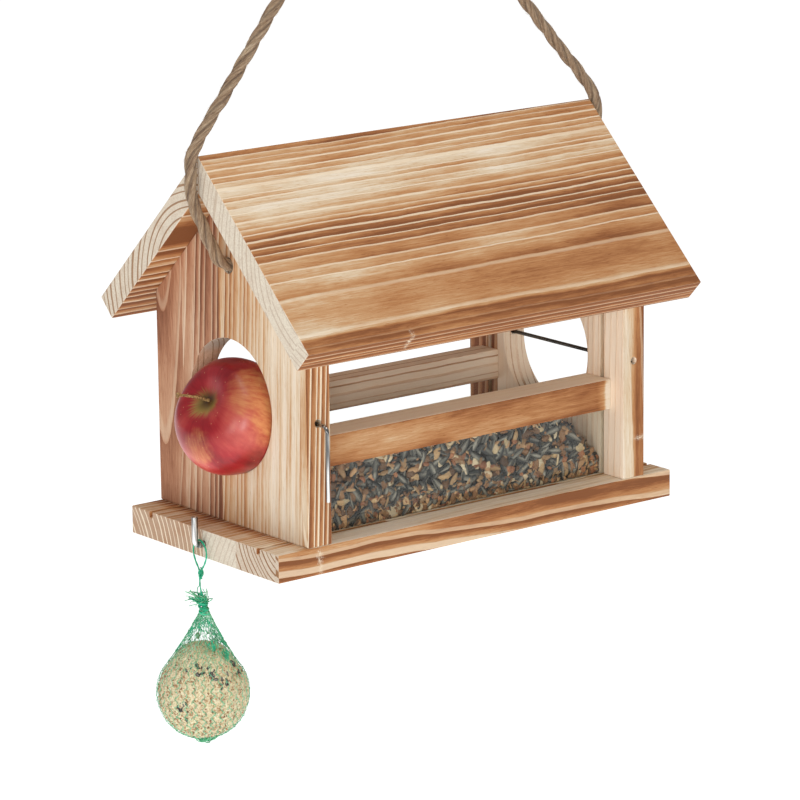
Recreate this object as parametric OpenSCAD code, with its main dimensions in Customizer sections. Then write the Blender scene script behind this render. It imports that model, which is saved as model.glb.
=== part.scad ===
// Hanging wooden bird feeder: a small timber house on a rope. A seed tray sits
// between two clear panes, each gable has an apple hole with a steel skewer
// across it, and a netted fat ball hangs from a hook in one end of the floor.
// Millimetres, +Z up. The ridge runs along X and the seed windows face -Y and +Y.
// The origin is where the rope's bend bears on whatever the feeder hangs from.
// The apple and the fat ball weigh down the left end, so that point is left of the
// middle of the house.

/* [House] */
// Length of the floor board, along the ridge
floor_len = 320; // [240:2:420]
// Depth of the floor board and of the gables, front to back
floor_depth = 156; // [120:2:220]
// Thickness of the floor board and of the gables
board = 18; // [12:1:24]
// Distance over the outer faces of the two gables
gable_span = 274; // [200:2:380]

/* [Roof] */
// Height of the ridge above the floor board
ridge_height = 236; // [180:2:320]
// Slope of the roof from the horizontal
roof_pitch = 44; // [30:1:55]
// Length of a roof board, along the ridge
roof_len = 316; // [240:2:420]
// Width of a roof board, from ridge to eave along its top face
roof_slope = 152; // [110:2:220]
// Thickness of a roof board
roof_thick = 17; // [12:1:24]

/* [Seed tray] */
// Height of the rails' top faces above the floor board
rail_top = 65; // [40:1:90]
// Height of a rail's section
rail_height = 20; // [12:1:30]
// Depth of the front rail, front to back
front_rail_depth = 24; // [14:1:30]
// Depth of the back rail, front to back
back_rail_depth = 18; // [14:1:30]
// Thickness of a clear pane
pane_thick = 2; // [1.5:0.5:4]
// Depth of the seed at the front pane
seed_depth = 45; // [20:1:60]

/* [Apple holes and skewers] */
// Diameter of the round hole in each gable
apple_hole_dia = 85; // [60:1:100]
// Height of the round hole's centre above the floor board
apple_hole_height = 76; // [60:1:100]
// Diameter of the apple
apple_dia = 74; // [55:1:84]
// Diameter of a skewer rod
skewer_dia = 2.5; // [2:0.5:5]
// Length of a skewer's bent leg
skewer_leg = 47; // [25:1:60]

/* [Fat ball] */
// Diameter of the fat ball
ball_dia = 59; // [45:1:70]
// Height of the ball's centre below the top of the floor board
ball_drop = 105; // [80:1:140]
// Diameter of the hook's wire
hook_dia = 4; // [2:0.5:6]

/* [Rope] */
// Height of the hanging point above the top of the floor board
hang_height = 422; // [300:2:700]
// Distance of the hanging point to the left of the middle of the house
hang_shift = 10; // [0:1:30]
// Diameter of the rope
rope_dia = 8; // [5:0.5:12]

/* [Hidden] */
$fn = 64;

// colours
pine = [0.80, 0.62, 0.42];
pale_pine = [0.86, 0.74, 0.57];
steel = [0.72, 0.72, 0.72];
jute = [0.62, 0.48, 0.32];
acrylic = [0.85, 0.92, 0.95, 0.3];
beech = [0.78, 0.64, 0.46];
apple_red = [0.72, 0.12, 0.12];
stem_brown = [0.45, 0.32, 0.16];
suet = [0.84, 0.78, 0.58];
net_green = [0.12, 0.62, 0.38];
seed_brown = [0.38, 0.30, 0.22];

// gaps between pieces that go into each other
glue_gap = 0.1;
slot_gap = 0.5;

// gables
gable_out = gable_span / 2;
gable_in = gable_out - board;
gable_mid = gable_out - board / 2;
half_depth = floor_depth / 2;
gable_peak = ridge_height - roof_thick / cos(roof_pitch);
gable_eave = gable_peak - half_depth * tan(roof_pitch);
rope_hole_height = 165;
rope_hole_dia = rope_dia + 2;

// roof
eave_reach = roof_slope * cos(roof_pitch);
eave_drop = ridge_height - roof_slope * sin(roof_pitch);

// rails and panes
rail_face = 66;
pane_line = 57;
pane_in_gable = 4;
pane_in_floor = 4;
pane_in_rail = 5;
pane_slot = pane_thick + 2 * slot_gap;
rail_bottom = rail_top - rail_height;

// fixings
dowel_dia = 6;
dowel_len = 22;
rail_dowel_dia = 5;
roof_dowel_places = [24, 64];
rail_dowel_height = rail_bottom + 12;
front_dowel_line = -49;
back_dowel_line = 62;
screw_dia = 4;
screw_len = 40;
screw_head_dia = 8;
screw_head_len = 3;
screw_line = 44;

// skewers: each rod lies on the bottom of its wider bore
skewer_height = apple_hole_height + 1;
skewer_bore = 4.5;
skewer_rest = 0.8;
skewer_out = 9;
skewer_bend = 4;
skewer_tip = 5;
skewer_end = half_depth - 2;

// apple, tilted on the skewer with its stem outwards
apple_at = [-gable_mid - 8, 0, apple_hole_height - 4.7];
apple_tilt = [0, 58, 183];
apple_half_height = 32;
stem_well = 12;
calyx_well = 6;
stem_dia = 2;
stem_knob_dia = 4;
stem_from = [-151.6, -0.9, 81.2];
stem_to = [-175.6, 3.8, 88.3];

// hook in the end of the floor board
hook_out = 6.5;
hook_in = 24;
hook_bend = 4;
hook_leg = 18.5;
hook_height = -board / 2;
hook_x = -floor_len / 2 - hook_out;

// fat ball and its net, on the hook's shank
ball_x = -floor_len / 2 - 3;
net_gap = 0.3;
net_thick = 0.6;
net_neck_r = 3;
net_neck_at = 54;
net_tuft_at = 61;
net_tuft_top = 68;
net_tuft_r = 6;
string_dia = 1.2;

// the rope's path inside and outside a gable, [distance from the middle of the
// house, height above the floor], from the knot to just above the ridge
rope_foot = [
    [118.7, 165], [128, 165], [133, 165], [138, 165.8], [143, 169], [147, 175],
    [151.5, 184], [157.5, 197], [162.6, 209.5], [163.6, 219], [163.4, 228],
    [162.7, 235], [160.8, 240]
];
rope_leg_steps = 6;
rope_bend = 11;
rope_bend_drop = 5;

// path of the ball's string, [Y, height above the floor], from net to loose end
string_path = [
    [0.8, -36.2], [0.8, -31], [1, -26], [5, -20], [7, -14], [5.2, -8.8], [2.4, -6.6],
    [0, -5.9], [-2.4, -6.6], [-5.2, -8.8], [-7, -14], [-5, -20], [-1, -26], [-1, -31]
];
string_knot_at = [ball_x, 0, -27];

// ---- helpers ----

// Moves shapes drawn above the floor board's top face into the hanging frame.
module from_floor() {
    translate([hang_shift, 0, -hang_height]) children();
}

// Extrudes a [Y, Z] outline along +X.
module along_x(length) {
    rotate([90, 0, 90]) linear_extrude(length) children();
}

// Cylinder along X, centred on its own middle.
module x_pin(d, h) {
    rotate([0, 90, 0]) cylinder(d = d, h = h, center = true);
}

// Cylinder along Y, centred on its own middle.
module y_pin(d, h) {
    rotate([90, 0, 0]) cylinder(d = d, h = h, center = true);
}

// Round rod bent to an L. Its arm runs along +X and its leg hangs along -Z.
module bent_rod(d, bend, arm, leg) {
    translate([bend, 0, 0]) rotate([0, 90, 0]) cylinder(d = d, h = arm - bend);
    translate([0, 0, -leg]) cylinder(d = d, h = leg - bend);
    translate([bend, 0, -bend]) rotate([90, 0, 0]) rotate([0, 0, 90])
        rotate_extrude(angle = 90) translate([bend, 0]) circle(d = d);
}

function unit(v) = v / norm(v);

// Direction in which a route passes its i-th point.
function through(pts, i) =
    i == 0 ? unit(pts[1] - pts[0])
    : i == len(pts) - 1 ? unit(pts[i] - pts[i - 1])
    : unit(unit(pts[i] - pts[i - 1]) + unit(pts[i + 1] - pts[i]));

// Point on a smooth curve from a to b that leaves along u and arrives along v.
function curve_point(a, b, u, v, t) =
    let (l = norm(b - a), t2 = t * t, t3 = t * t * t)
    (2 * t3 - 3 * t2 + 1) * a + (t3 - 2 * t2 + t) * l * u
        + (3 * t2 - 2 * t3) * b + (t3 - t2) * l * v;

// Smooth path through the given points, with some steps between each two.
function smooth_path(pts, steps) = concat(
    [for (i = [0 : len(pts) - 2]) for (s = [0 : steps - 1])
        curve_point(pts[i], pts[i + 1], through(pts, i), through(pts, i + 1), s / steps)],
    [pts[len(pts) - 1]]
);

// Direction of a path at one of its points.
function heading(path, i) =
    let (v = path[min(i + 1, len(path) - 1)] - path[max(i - 1, 0)]) v / norm(v);

// One ring of a tube whose path lies in the XZ plane.
function tube_ring(path, i, r, sides) =
    let (p = path[i], h = heading(path, i))
    [for (k = [0 : sides - 1])
        let (a = 360 * k / sides)
        [p[0] - h[1] * r * cos(a), r * sin(a), p[1] + h[0] * r * cos(a)]];

// Solid tube along a flat [X, Z] path.
module tube(path, d, sides) {
    rings = len(path);
    points = [for (i = [0 : rings - 1]) each tube_ring(path, i, d / 2, sides)];
    walls = [for (i = [0 : rings - 2]) for (k = [0 : sides - 1])
        let (n = (k + 1) % sides)
        [i * sides + k, i * sides + n, (i + 1) * sides + n, (i + 1) * sides + k]];
    start_cap = [[for (k = [0 : sides - 1]) sides - 1 - k]];
    end_cap = [[for (k = [0 : sides - 1]) (rings - 1) * sides + k]];
    polyhedron(points, concat(start_cap, walls, end_cap));
}

// ---- fixings, each drawn with extra size for its hole ----

module roof_dowel_set(extra, gables, sides) {
    for (g = gables) for (s = sides) for (d = roof_dowel_places)
        translate([g * gable_mid, s * d, gable_peak - d * tan(roof_pitch)])
            rotate([-s * roof_pitch, 0, 0])
                cylinder(d = dowel_dia + 2 * extra, h = dowel_len + 2 * extra,
                    center = true);
}

module rail_dowel(end, line, extra) {
    translate([end * gable_in, line, rail_dowel_height])
        x_pin(rail_dowel_dia + 2 * extra, dowel_len + 2 * extra);
}

module rail_dowel_set(extra, ends) {
    for (e = ends) for (line = [front_dowel_line, back_dowel_line])
        rail_dowel(e, line, extra);
}

module floor_screw_set(extra, gables) {
    for (g = gables) for (s = [-1, 1])
        translate([g * gable_mid, s * screw_line, -board]) {
            cylinder(d = screw_dia + 2 * extra, h = screw_len + extra);
            cylinder(d1 = screw_head_dia + 2 * extra, d2 = screw_dia + 2 * extra,
                h = screw_head_len);
        }
}

// ---- timber ----

module floor_blank() {
    translate([-floor_len / 2, -half_depth, -board])
        cube([floor_len, floor_depth, board]);
}

// The slots under the panes run out through both ends of the floor board.
module floor_pane_slots() {
    for (s = [-1, 1])
        translate([-floor_len / 2 - 1, s * pane_line - pane_slot / 2, -pane_in_floor])
            cube([floor_len + 2, pane_slot, pane_in_floor + 1]);
}

module hook_hole() {
    translate([-floor_len / 2 + hook_in / 2, 0, hook_height])
        x_pin(hook_dia + 2 * glue_gap, hook_in + 2);
}

module floor_board() {
    color(pine) from_floor() difference() {
        floor_blank();
        floor_pane_slots();
        floor_screw_set(glue_gap, [-1, 1]);
        hook_hole();
    }
}

// Gable outline: upright sides under a peak with the roof's slope.
module gable_outline() {
    polygon([
        [-half_depth, 0], [half_depth, 0], [half_depth, gable_eave],
        [0, gable_peak], [-half_depth, gable_eave]
    ]);
}

module gable_pane_slots(end) {
    depth = pane_in_gable + 1;
    for (s = [-1, 1])
        translate([end * (gable_in + pane_in_gable - depth / 2),
                s * pane_line, gable_peak / 2])
            cube([depth, pane_slot, gable_peak + 2], center = true);
}

// One gable board: end is -1 for the left one and +1 for the right one.
module gable(end) {
    difference() {
        translate([end * gable_mid - board / 2, 0, 0])
            along_x(board) gable_outline();
        translate([end * gable_mid, 0, apple_hole_height])
            x_pin(apple_hole_dia, board + 2);
        translate([end * gable_mid, 0, skewer_height + skewer_rest])
            y_pin(skewer_bore, floor_depth + 2);
        translate([end * gable_mid, 0, rope_hole_height])
            x_pin(rope_hole_dia, board + 2);
        gable_pane_slots(end);
        roof_dowel_set(glue_gap, [end], [-1, 1]);
        rail_dowel_set(glue_gap, [end]);
        floor_screw_set(glue_gap, [end]);
    }
}

module gable_left() {
    color(pine) from_floor() gable(-1);
}

module gable_right() {
    color(pine) from_floor() gable(1);
}

// One roof board: side is -1 for the front and +1 for the back.
// The ridge edge is cut plumb, and the eave edge square to the slope.
module roof_board(side) {
    under_reach = eave_reach - roof_thick * sin(roof_pitch);
    under_drop = eave_drop - roof_thick * cos(roof_pitch);
    difference() {
        translate([-roof_len / 2, 0, 0]) along_x(roof_len) polygon([
            [0, ridge_height], [side * eave_reach, eave_drop],
            [side * under_reach, under_drop], [0, gable_peak]
        ]);
        roof_dowel_set(glue_gap, [-1, 1], [side]);
    }
}

module roof_front() {
    color(pine) from_floor() roof_board(-1);
}

module roof_back() {
    color(pine) from_floor() roof_board(1);
}

// One rail between the gables, with a slot under it for the pane's top edge.
module rail(side, depth) {
    difference() {
        translate([-gable_in, side * (rail_face - depth / 2) - depth / 2, rail_bottom])
            cube([2 * gable_in, depth, rail_height]);
        translate([-gable_in - 1, side * pane_line - pane_slot / 2, rail_bottom - 1])
            cube([2 * gable_in + 2, pane_slot, pane_in_rail + 1 + slot_gap]);
        rail_dowel_set(glue_gap, [-1, 1]);
    }
}

module rail_front() {
    color(pine) from_floor() rail(-1, front_rail_depth);
}

module rail_back() {
    color(pine) from_floor() rail(1, back_rail_depth);
}

module pane(side) {
    length = 2 * (gable_in + pane_in_gable - slot_gap);
    height = rail_bottom + pane_in_rail + pane_in_floor - slot_gap;
    translate([-length / 2, side * pane_line - pane_thick / 2,
            -pane_in_floor + slot_gap])
        cube([length, pane_thick, height]);
}

module pane_front() {
    color(acrylic) from_floor() pane(-1);
}

module pane_back() {
    color(acrylic) from_floor() pane(1);
}

module roof_dowels() {
    color(beech) from_floor() roof_dowel_set(0, [-1, 1], [-1, 1]);
}

module rail_dowels() {
    color(beech) from_floor() rail_dowel_set(0, [-1, 1]);
}

module floor_screws() {
    color(steel) from_floor() floor_screw_set(0, [-1, 1]);
}

// ---- steel ----

// Skewer of the left gable: goes in from the front, its leg hanging down.
module skewer() {
    reach = half_depth + skewer_out;
    translate([-gable_mid, -reach, skewer_height]) rotate([0, 0, 90]) {
        bent_rod(skewer_dia, skewer_bend, reach + skewer_end - skewer_tip, skewer_leg);
        translate([reach + skewer_end - skewer_tip, 0, 0]) rotate([0, 90, 0])
            cylinder(d1 = skewer_dia, d2 = skewer_dia / 4, h = skewer_tip);
    }
}

module skewer_left() {
    color(steel) from_floor() skewer();
}

// The right gable's skewer is the same piece turned round, so it goes in from the back.
module skewer_right() {
    color(steel) from_floor() rotate([0, 0, 180]) skewer();
}

module ball_hook() {
    color(steel) from_floor() translate([hook_x, 0, hook_height]) mirror([0, 0, 1])
        bent_rod(hook_dia, hook_bend, hook_out + hook_in, hook_leg);
}

// ---- rope ----

// The foot of the rope on one side: end is -1 for the left and +1 for the right.
function foot_path(end) = [for (p = rope_foot) [end * p[0], p[1]]];

// The top of the rope, bent over the hanging point.
function top_path() =
    let (z = hang_height + rope_dia / 2)
    [for (k = [-1 : 1]) [k * rope_bend - hang_shift, z - abs(k) * rope_bend_drop]];

// The straight leg between two points, without its ends.
function leg_path(a, b) =
    [for (k = [1 : rope_leg_steps - 1]) a + (b - a) * k / rope_leg_steps];

function turned_round(path) = [for (i = [len(path) - 1 : -1 : 0]) path[i]];

function rope_path() =
    let (left = foot_path(-1), right = foot_path(1), top = top_path())
    concat(
        left, leg_path(left[len(left) - 1], top[0]), top,
        turned_round(concat(right, leg_path(right[len(right) - 1], top[2])))
    );

module rope() {
    color(jute) from_floor() tube(smooth_path(rope_path(), 2), rope_dia, 10);
}

// Stopper knot against a gable's inner face, with the rope's cut end behind it.
module rope_knot(end) {
    knot_len = 17;
    knot_dia = 21;
    tail = 12;
    translate([end * (gable_in - 0.3), 0, rope_hole_height]) rotate([0, -90 * end, 0]) {
        rotate_extrude() polygon([
            [0, 0], [knot_dia * 0.36, 0], [knot_dia * 0.48, knot_len * 0.2],
            [knot_dia * 0.5, knot_len * 0.5], [knot_dia * 0.42, knot_len * 0.8],
            [rope_dia / 2, knot_len], [rope_dia / 2, knot_len + tail],
            [0, knot_len + tail]
        ]);
    }
}

module rope_knot_left() {
    color(jute) from_floor() rope_knot(-1);
}

module rope_knot_right() {
    color(jute) from_floor() rope_knot(1);
}

// ---- food ----

// Seed bed: deepest behind the front pane, lower at the back and the right end.
module seed_fill() {
    end_x = gable_in - 0.3;
    side_y = pane_line - pane_thick / 2 - 0.3;
    slope_x = 82;
    color(seed_brown) from_floor() difference() {
        rotate([90, 0, 0]) linear_extrude(2 * side_y, center = true) polygon([
            [-end_x, 0], [end_x, 0], [end_x, seed_depth * 0.42],
            [slope_x, seed_depth], [-end_x, seed_depth]
        ]);
        translate([0, -side_y, seed_depth]) rotate([-7, 0, 0])
            translate([-floor_len / 2, 0, 0]) cube([floor_len, floor_depth, board * 2]);
    }
}

// Half outline of an apple: t is the angle from the stem end.
function apple_r(t) = apple_dia / 2 * sin(t) * (1 + 0.05 * cos(t));
function apple_z(t) = apple_half_height * cos(t)
    - stem_well * exp(-pow(t / 24, 2)) + calyx_well * exp(-pow((180 - t) / 18, 2));

module apple_body() {
    step = 7.5;
    rotate_extrude() polygon([
        for (t = [0 : step : 180]) [t == 180 ? 0 : max(0, apple_r(t)), apple_z(t)]
    ]);
}

module apple() {
    color(apple_red) from_floor() difference() {
        translate(apple_at) rotate(apple_tilt) apple_body();
        translate([-gable_mid, 0, skewer_height])
            y_pin(skewer_dia + 2 * glue_gap, 2 * apple_dia);
    }
}

module apple_stem() {
    run = stem_to - stem_from;
    tilt = acos(run[2] / norm(run));
    turn = atan2(run[1], run[0]);
    color(stem_brown) from_floor() translate(stem_from) rotate([0, tilt, turn]) {
        cylinder(d = stem_dia, h = norm(run), $fn = 24);
        translate([0, 0, norm(run)]) sphere(d = stem_knob_dia, $fn = 24);
    }
}

module fat_ball() {
    color(suet) from_floor() translate([ball_x, 0, -ball_drop]) sphere(d = ball_dia);
}

// Angle from the top at which the net leaves the ball and runs straight to the neck.
function net_leaves(r) = acos(r / (net_neck_at + 5));

// Half outline of the net's bag around the ball, from its bottom to its neck.
function bag_line(r, neck_r) = concat(
    [for (i = [0 : 12])
        let (t = 180 - i / 12 * (180 - net_leaves(r)))
        [r * sin(t), r * cos(t)]],
    [[neck_r, net_neck_at]]
);

module ball_net() {
    inner_r = ball_dia / 2 + net_gap;
    outer = bag_line(inner_r + net_thick, net_neck_r);
    inner = bag_line(inner_r, net_neck_r - net_thick);
    neck = [
        [net_neck_r, net_tuft_at], [net_tuft_r, net_tuft_top - 2],
        [net_tuft_r * 0.7, net_tuft_top], [0, net_tuft_top], [0, net_neck_at]
    ];
    color(net_green) from_floor() translate([ball_x, 0, -ball_drop])
        rotate_extrude() polygon(concat(
            outer, neck, turned_round(inner)
        ));
}

module ball_string() {
    color(net_green) from_floor() translate([ball_x, 0, 0]) rotate([0, 0, 90])
        tube(smooth_path(string_path, 2), string_dia, 8);
}

module string_knot() {
    color(net_green) from_floor() translate(string_knot_at) sphere(d = 4, $fn = 24);
}

// ---- output ----

floor_board();
gable_left();
gable_right();
roof_front();
roof_back();
rail_front();
rail_back();
pane_front();
pane_back();
roof_dowels();
rail_dowels();
floor_screws();
skewer_left();
skewer_right();
ball_hook();
rope();
rope_knot_left();
rope_knot_right();
seed_fill();
apple();
apple_stem();
fat_ball();
ball_net();
ball_string();
string_knot();
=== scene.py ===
"""Looks of the hanging wooden bird feeder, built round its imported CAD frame.

Lengths in this file are millimetres unless a name ends in _m. House coordinates
have z = 0 on top of the floor board and x = 0 in the middle of the house.
"""

import math

import bpy
import numpy as np
from mathutils import Matrix, Vector


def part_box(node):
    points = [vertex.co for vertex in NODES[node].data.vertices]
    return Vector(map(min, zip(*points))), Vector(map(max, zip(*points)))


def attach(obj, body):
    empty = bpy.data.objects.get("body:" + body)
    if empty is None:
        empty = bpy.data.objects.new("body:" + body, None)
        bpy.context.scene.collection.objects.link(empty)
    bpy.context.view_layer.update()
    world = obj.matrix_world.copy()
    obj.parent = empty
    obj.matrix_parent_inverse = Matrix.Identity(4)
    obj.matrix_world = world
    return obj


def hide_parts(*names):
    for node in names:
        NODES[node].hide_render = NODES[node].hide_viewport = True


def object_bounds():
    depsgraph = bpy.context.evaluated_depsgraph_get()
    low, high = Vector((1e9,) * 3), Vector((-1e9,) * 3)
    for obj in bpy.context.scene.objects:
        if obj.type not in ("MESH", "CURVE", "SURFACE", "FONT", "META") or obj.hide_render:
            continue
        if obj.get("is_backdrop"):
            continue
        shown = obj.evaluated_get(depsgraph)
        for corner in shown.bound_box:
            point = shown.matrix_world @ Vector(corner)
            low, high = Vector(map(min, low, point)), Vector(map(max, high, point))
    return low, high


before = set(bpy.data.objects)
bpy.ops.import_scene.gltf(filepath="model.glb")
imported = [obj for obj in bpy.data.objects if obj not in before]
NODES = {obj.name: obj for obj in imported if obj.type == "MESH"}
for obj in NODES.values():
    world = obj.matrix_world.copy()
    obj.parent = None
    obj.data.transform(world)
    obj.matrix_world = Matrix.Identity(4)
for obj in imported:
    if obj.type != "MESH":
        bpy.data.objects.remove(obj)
CAD_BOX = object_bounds()

MM = 0.001
FULL_TURN = 2 * math.pi
X, Y, Z = Vector((1, 0, 0)), Vector((0, 1, 0)), Vector((0, 0, 1))
HANG_SHIFT = 10
HANG_HEIGHT = 422


def at(x, y, z):
    """A point in house millimetres as a point of the shared frame, in metres."""
    return Vector((x + HANG_SHIFT, y, z - HANG_HEIGHT)) * MM


def in_frame(points):
    """An array of house points, in millimetres, in the shared frame's metres."""
    return (np.asarray(points, float) + (HANG_SHIFT, 0, -HANG_HEIGHT)) * MM


def heading(azimuth, elevation):
    """Unit vector at an azimuth, 0 for the front, and an elevation, both in degrees."""
    turn, lift = math.radians(azimuth), math.radians(elevation)
    return Vector((math.sin(turn) * math.cos(lift), -math.cos(turn) * math.cos(lift),
                   math.sin(lift)))


def add_object(name, data):
    made = bpy.data.objects.new(name, data)
    bpy.context.scene.collection.objects.link(made)
    return made


# ---- camera ----

CAMERA_AZIMUTH = -38.22
CAMERA_ELEVATION = 13.61
CAMERA_ROLL = -0.66
CAMERA_DISTANCE_M = 2.673
CAMERA_AIM = at(-3, 0, 58.3)
CAMERA_LENS = 187.4
SENSOR_WIDTH = 36


def make_camera():
    back = heading(CAMERA_AZIMUTH, CAMERA_ELEVATION)
    roll = math.radians(CAMERA_ROLL)
    level = Z.cross(back).normalized()
    upright = back.cross(level)
    right = level * math.cos(roll) + upright * math.sin(roll)
    up = upright * math.cos(roll) - level * math.sin(roll)
    data = bpy.data.cameras.new("camera")
    data.lens = CAMERA_LENS
    data.sensor_width = SENSOR_WIDTH
    camera = add_object("camera", data)
    matrix = Matrix((right, up, back)).transposed().to_4x4()
    matrix.translation = CAMERA_AIM + back * CAMERA_DISTANCE_M
    camera.matrix_world = matrix
    bpy.context.scene.camera = camera


make_camera()


# ---- node graphs ----

class Signal:
    """An output of a node graph, for use in sums and products."""

    def __init__(self, graph, socket):
        self.graph = graph
        self.socket = socket

    def __add__(self, other):
        return self.graph.math("ADD", self, other)

    def __sub__(self, other):
        return self.graph.math("SUBTRACT", self, other)

    def __rsub__(self, other):
        return self.graph.math("SUBTRACT", other, self)

    def __mul__(self, other):
        return self.graph.math("MULTIPLY", self, other)

    def __truediv__(self, other):
        return self.graph.math("DIVIDE", self, other)

    def __abs__(self):
        return self.graph.math("ABSOLUTE", self)

    __radd__ = __add__
    __rmul__ = __mul__


class Graph:
    """Wires up one material's nodes. Its methods return Signals."""

    def __init__(self, name):
        self.material = bpy.data.materials.new(name)
        self.material.use_nodes = True
        self.tree = self.material.node_tree
        self.tree.nodes.clear()

    def put(self, socket, value):
        if isinstance(value, Signal):
            self.tree.links.new(value.socket, socket)
        else:
            socket.default_value = value

    def node(self, kind, inputs, output=0, **settings):
        """An output of a new node. inputs maps its sockets' names or numbers to values."""
        made = self.tree.nodes.new("ShaderNode" + kind)
        for key, value in settings.items():
            setattr(made, key, value)
        for key, value in inputs.items():
            self.put(made.inputs[key], value)
        return Signal(self, made.outputs[output])

    def math(self, operation, *values):
        return self.node("Math", dict(enumerate(values)), operation=operation)

    def vector(self, operation, a, b=(0, 0, 0)):
        output = "Value" if operation in ("DOT_PRODUCT", "LENGTH") else "Vector"
        return self.node("VectorMath", {0: a, 1: b}, output, operation=operation)

    def dot(self, a, direction):
        return self.vector("DOT_PRODUCT", a, tuple(direction))

    def xyz(self, x, y, z=0.0):
        return self.node("CombineXYZ", {0: x, 1: y, 2: z})

    def length(self, x, y, z=0.0):
        return self.vector("LENGTH", self.xyz(x, y, z))

    def noise(self, where, scale, detail=2.0, roughness=0.5):
        """Smooth noise from 0 to 1. scale is one number, or one for each axis."""
        if isinstance(scale, tuple):
            where, scale = self.vector("MULTIPLY", where, scale), 1.0
        inputs = {"Vector": where, "Scale": scale, "Detail": detail, "Roughness": roughness}
        return self.node("TexNoise", inputs, "Fac")

    def swing(self, where, scale, reach, detail=2.0):
        """Noise that runs from about -reach to +reach."""
        return (self.noise(where, scale, detail) - 0.5) * (2 * reach)

    def random(self, value):
        return self.node("TexWhiteNoise", {"W": value}, "Value", noise_dimensions="1D")

    def cells(self, where, scale, output="Distance"):
        return self.node("TexVoronoi", {"Vector": where, "Scale": scale}, output)

    def step(self, value, low, high, start=0.0, end=1.0):
        """Smooth step from start to end as value goes from low to high."""
        inputs = dict(enumerate((value, low, high, start, end)))
        return self.node("MapRange", inputs, "Result", interpolation_type="SMOOTHSTEP")

    def ramp(self, value, stops):
        """Colour, or a number where each stop's second item is one, between stops."""
        result = self.node("ValToRGB", {0: value}, "Color")
        elements = result.socket.node.color_ramp.elements
        while len(elements) < len(stops):
            elements.new(0.5)
        for element, (position, colour) in zip(elements, stops):
            element.position = position
            element.color = colour if isinstance(colour, tuple) else (*(colour,) * 3, 1)
        return result

    def mix(self, factor, a, b, blend="MIX"):
        inputs = {0: factor, 6: a, 7: b}
        return self.node("Mix", inputs, 2, data_type="RGBA", blend_type=blend)

    def space(self, kind="Object"):
        return self.node("TexCoord", {}, kind)

    def attribute(self, name, output):
        return self.node("Attribute", {}, output, attribute_name=name)

    def bump(self, height, distance, strength=1.0):
        inputs = {"Strength": strength, "Distance": distance, "Height": height}
        return self.node("Bump", inputs, "Normal")

    def finish(self, **sockets):
        """Ends the graph in a Principled shader with these sockets set."""
        inputs = {name.replace("_", " "): value for name, value in sockets.items()}
        return self.show(self.node("BsdfPrincipled", inputs))

    def show(self, shader):
        output = self.tree.nodes.new("ShaderNodeOutputMaterial")
        self.put(output.inputs["Surface"], shader)
        return self.material


def linear(red, green, blue):
    """Linear colour from the usual 0 to 255 numbers."""
    def one(value):
        value /= 255
        return value / 12.92 if value <= 0.04045 else ((value + 0.055) / 1.055) ** 2.4
    return (one(red), one(green), one(blue), 1)


def shades(*stops):
    """Stops of a colour ramp from (position, red, green, blue) rows."""
    return [(position, linear(*colour)) for position, *colour in stops]


# ---- meshes ----

def new_object(name, points, faces, material, matrix=Matrix()):
    """A smooth mesh object from points in metres."""
    mesh = bpy.data.meshes.new(name)
    mesh.from_pydata(np.asarray(points).tolist(), [], [list(f) for f in faces])
    mesh.polygons.foreach_set("use_smooth", [True] * len(mesh.polygons))
    mesh.materials.append(material)
    mesh.update()
    made = add_object(name, mesh)
    made.matrix_world = matrix
    return made


def new_piece(name, points, faces, material, body, matrix=Matrix()):
    """A mesh piece from points in metres. It rides on body."""
    piece = new_object(name, points, faces, material, matrix)
    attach(piece, body)
    return piece


def store(piece, name, kind, values):
    """Gives each point of a piece a named value of the kind vector or color."""
    attribute = piece.data.attributes.new(name, "FLOAT_" + kind.upper(), "POINT")
    attribute.data.foreach_set(kind, np.asarray(values, np.float32).ravel())


def store_tint(piece, colours):
    colours = np.vstack(colours)
    store(piece, "tint", "color", np.c_[colours, np.ones(len(colours))])


def ring_faces(rings, around, closed_ends=True):
    """Quads between rings of points, and a face over each end."""
    i, k = np.meshgrid(np.arange(rings - 1), np.arange(around), indexing="ij")
    n = (k + 1) % around
    quads = np.stack([i * around + k, i * around + n, (i + 1) * around + n,
                      (i + 1) * around + k], -1).reshape(-1, 4)
    faces = quads.tolist()
    if closed_ends:
        faces.append(list(range(around - 1, -1, -1)))
        faces.append(list(range((rings - 1) * around, rings * around)))
    return faces


def joined(parts):
    """The (points, faces) parts as one."""
    points, faces, start = [], [], 0
    for part_points, part_faces in parts:
        points.append(part_points)
        faces += [[start + k for k in face] for face in part_faces]
        start += len(part_points)
    return np.vstack(points), faces


def joined_piece(name, parts, material, body):
    """One piece from (points, faces) parts in house mm."""
    points, faces = joined(parts)
    return new_piece(name, in_frame(points), faces, material, body)


def angles_round(count):
    return np.arange(count) * FULL_TURN / count


def unit_rows(rows):
    return rows / np.linalg.norm(rows, axis=1, keepdims=True)


def resampled(points, spacing):
    """The same line with evenly spaced points."""
    points = np.asarray(points, float)
    run = np.r_[0, np.cumsum(np.linalg.norm(np.diff(points, axis=0), axis=1))]
    marks = np.linspace(0, run[-1], max(2, round(run[-1] / spacing) + 1))
    return np.stack([np.interp(marks, run, points[:, k]) for k in range(3)], 1)


def frames_along(path):
    """Two crosswise directions at each point of a line, turning as little as they can."""
    forward = unit_rows(np.gradient(path, axis=0))
    side = np.zeros_like(path)
    guess = np.array([0.0, 1.0, 0.0])
    if abs(forward[0] @ guess) > 0.9:
        guess = np.array([1.0, 0.0, 0.0])
    for i, along in enumerate(forward):
        guess = guess - (guess @ along) * along
        guess /= np.linalg.norm(guess)
        side[i] = guess
    return side, np.cross(forward, side)


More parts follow.
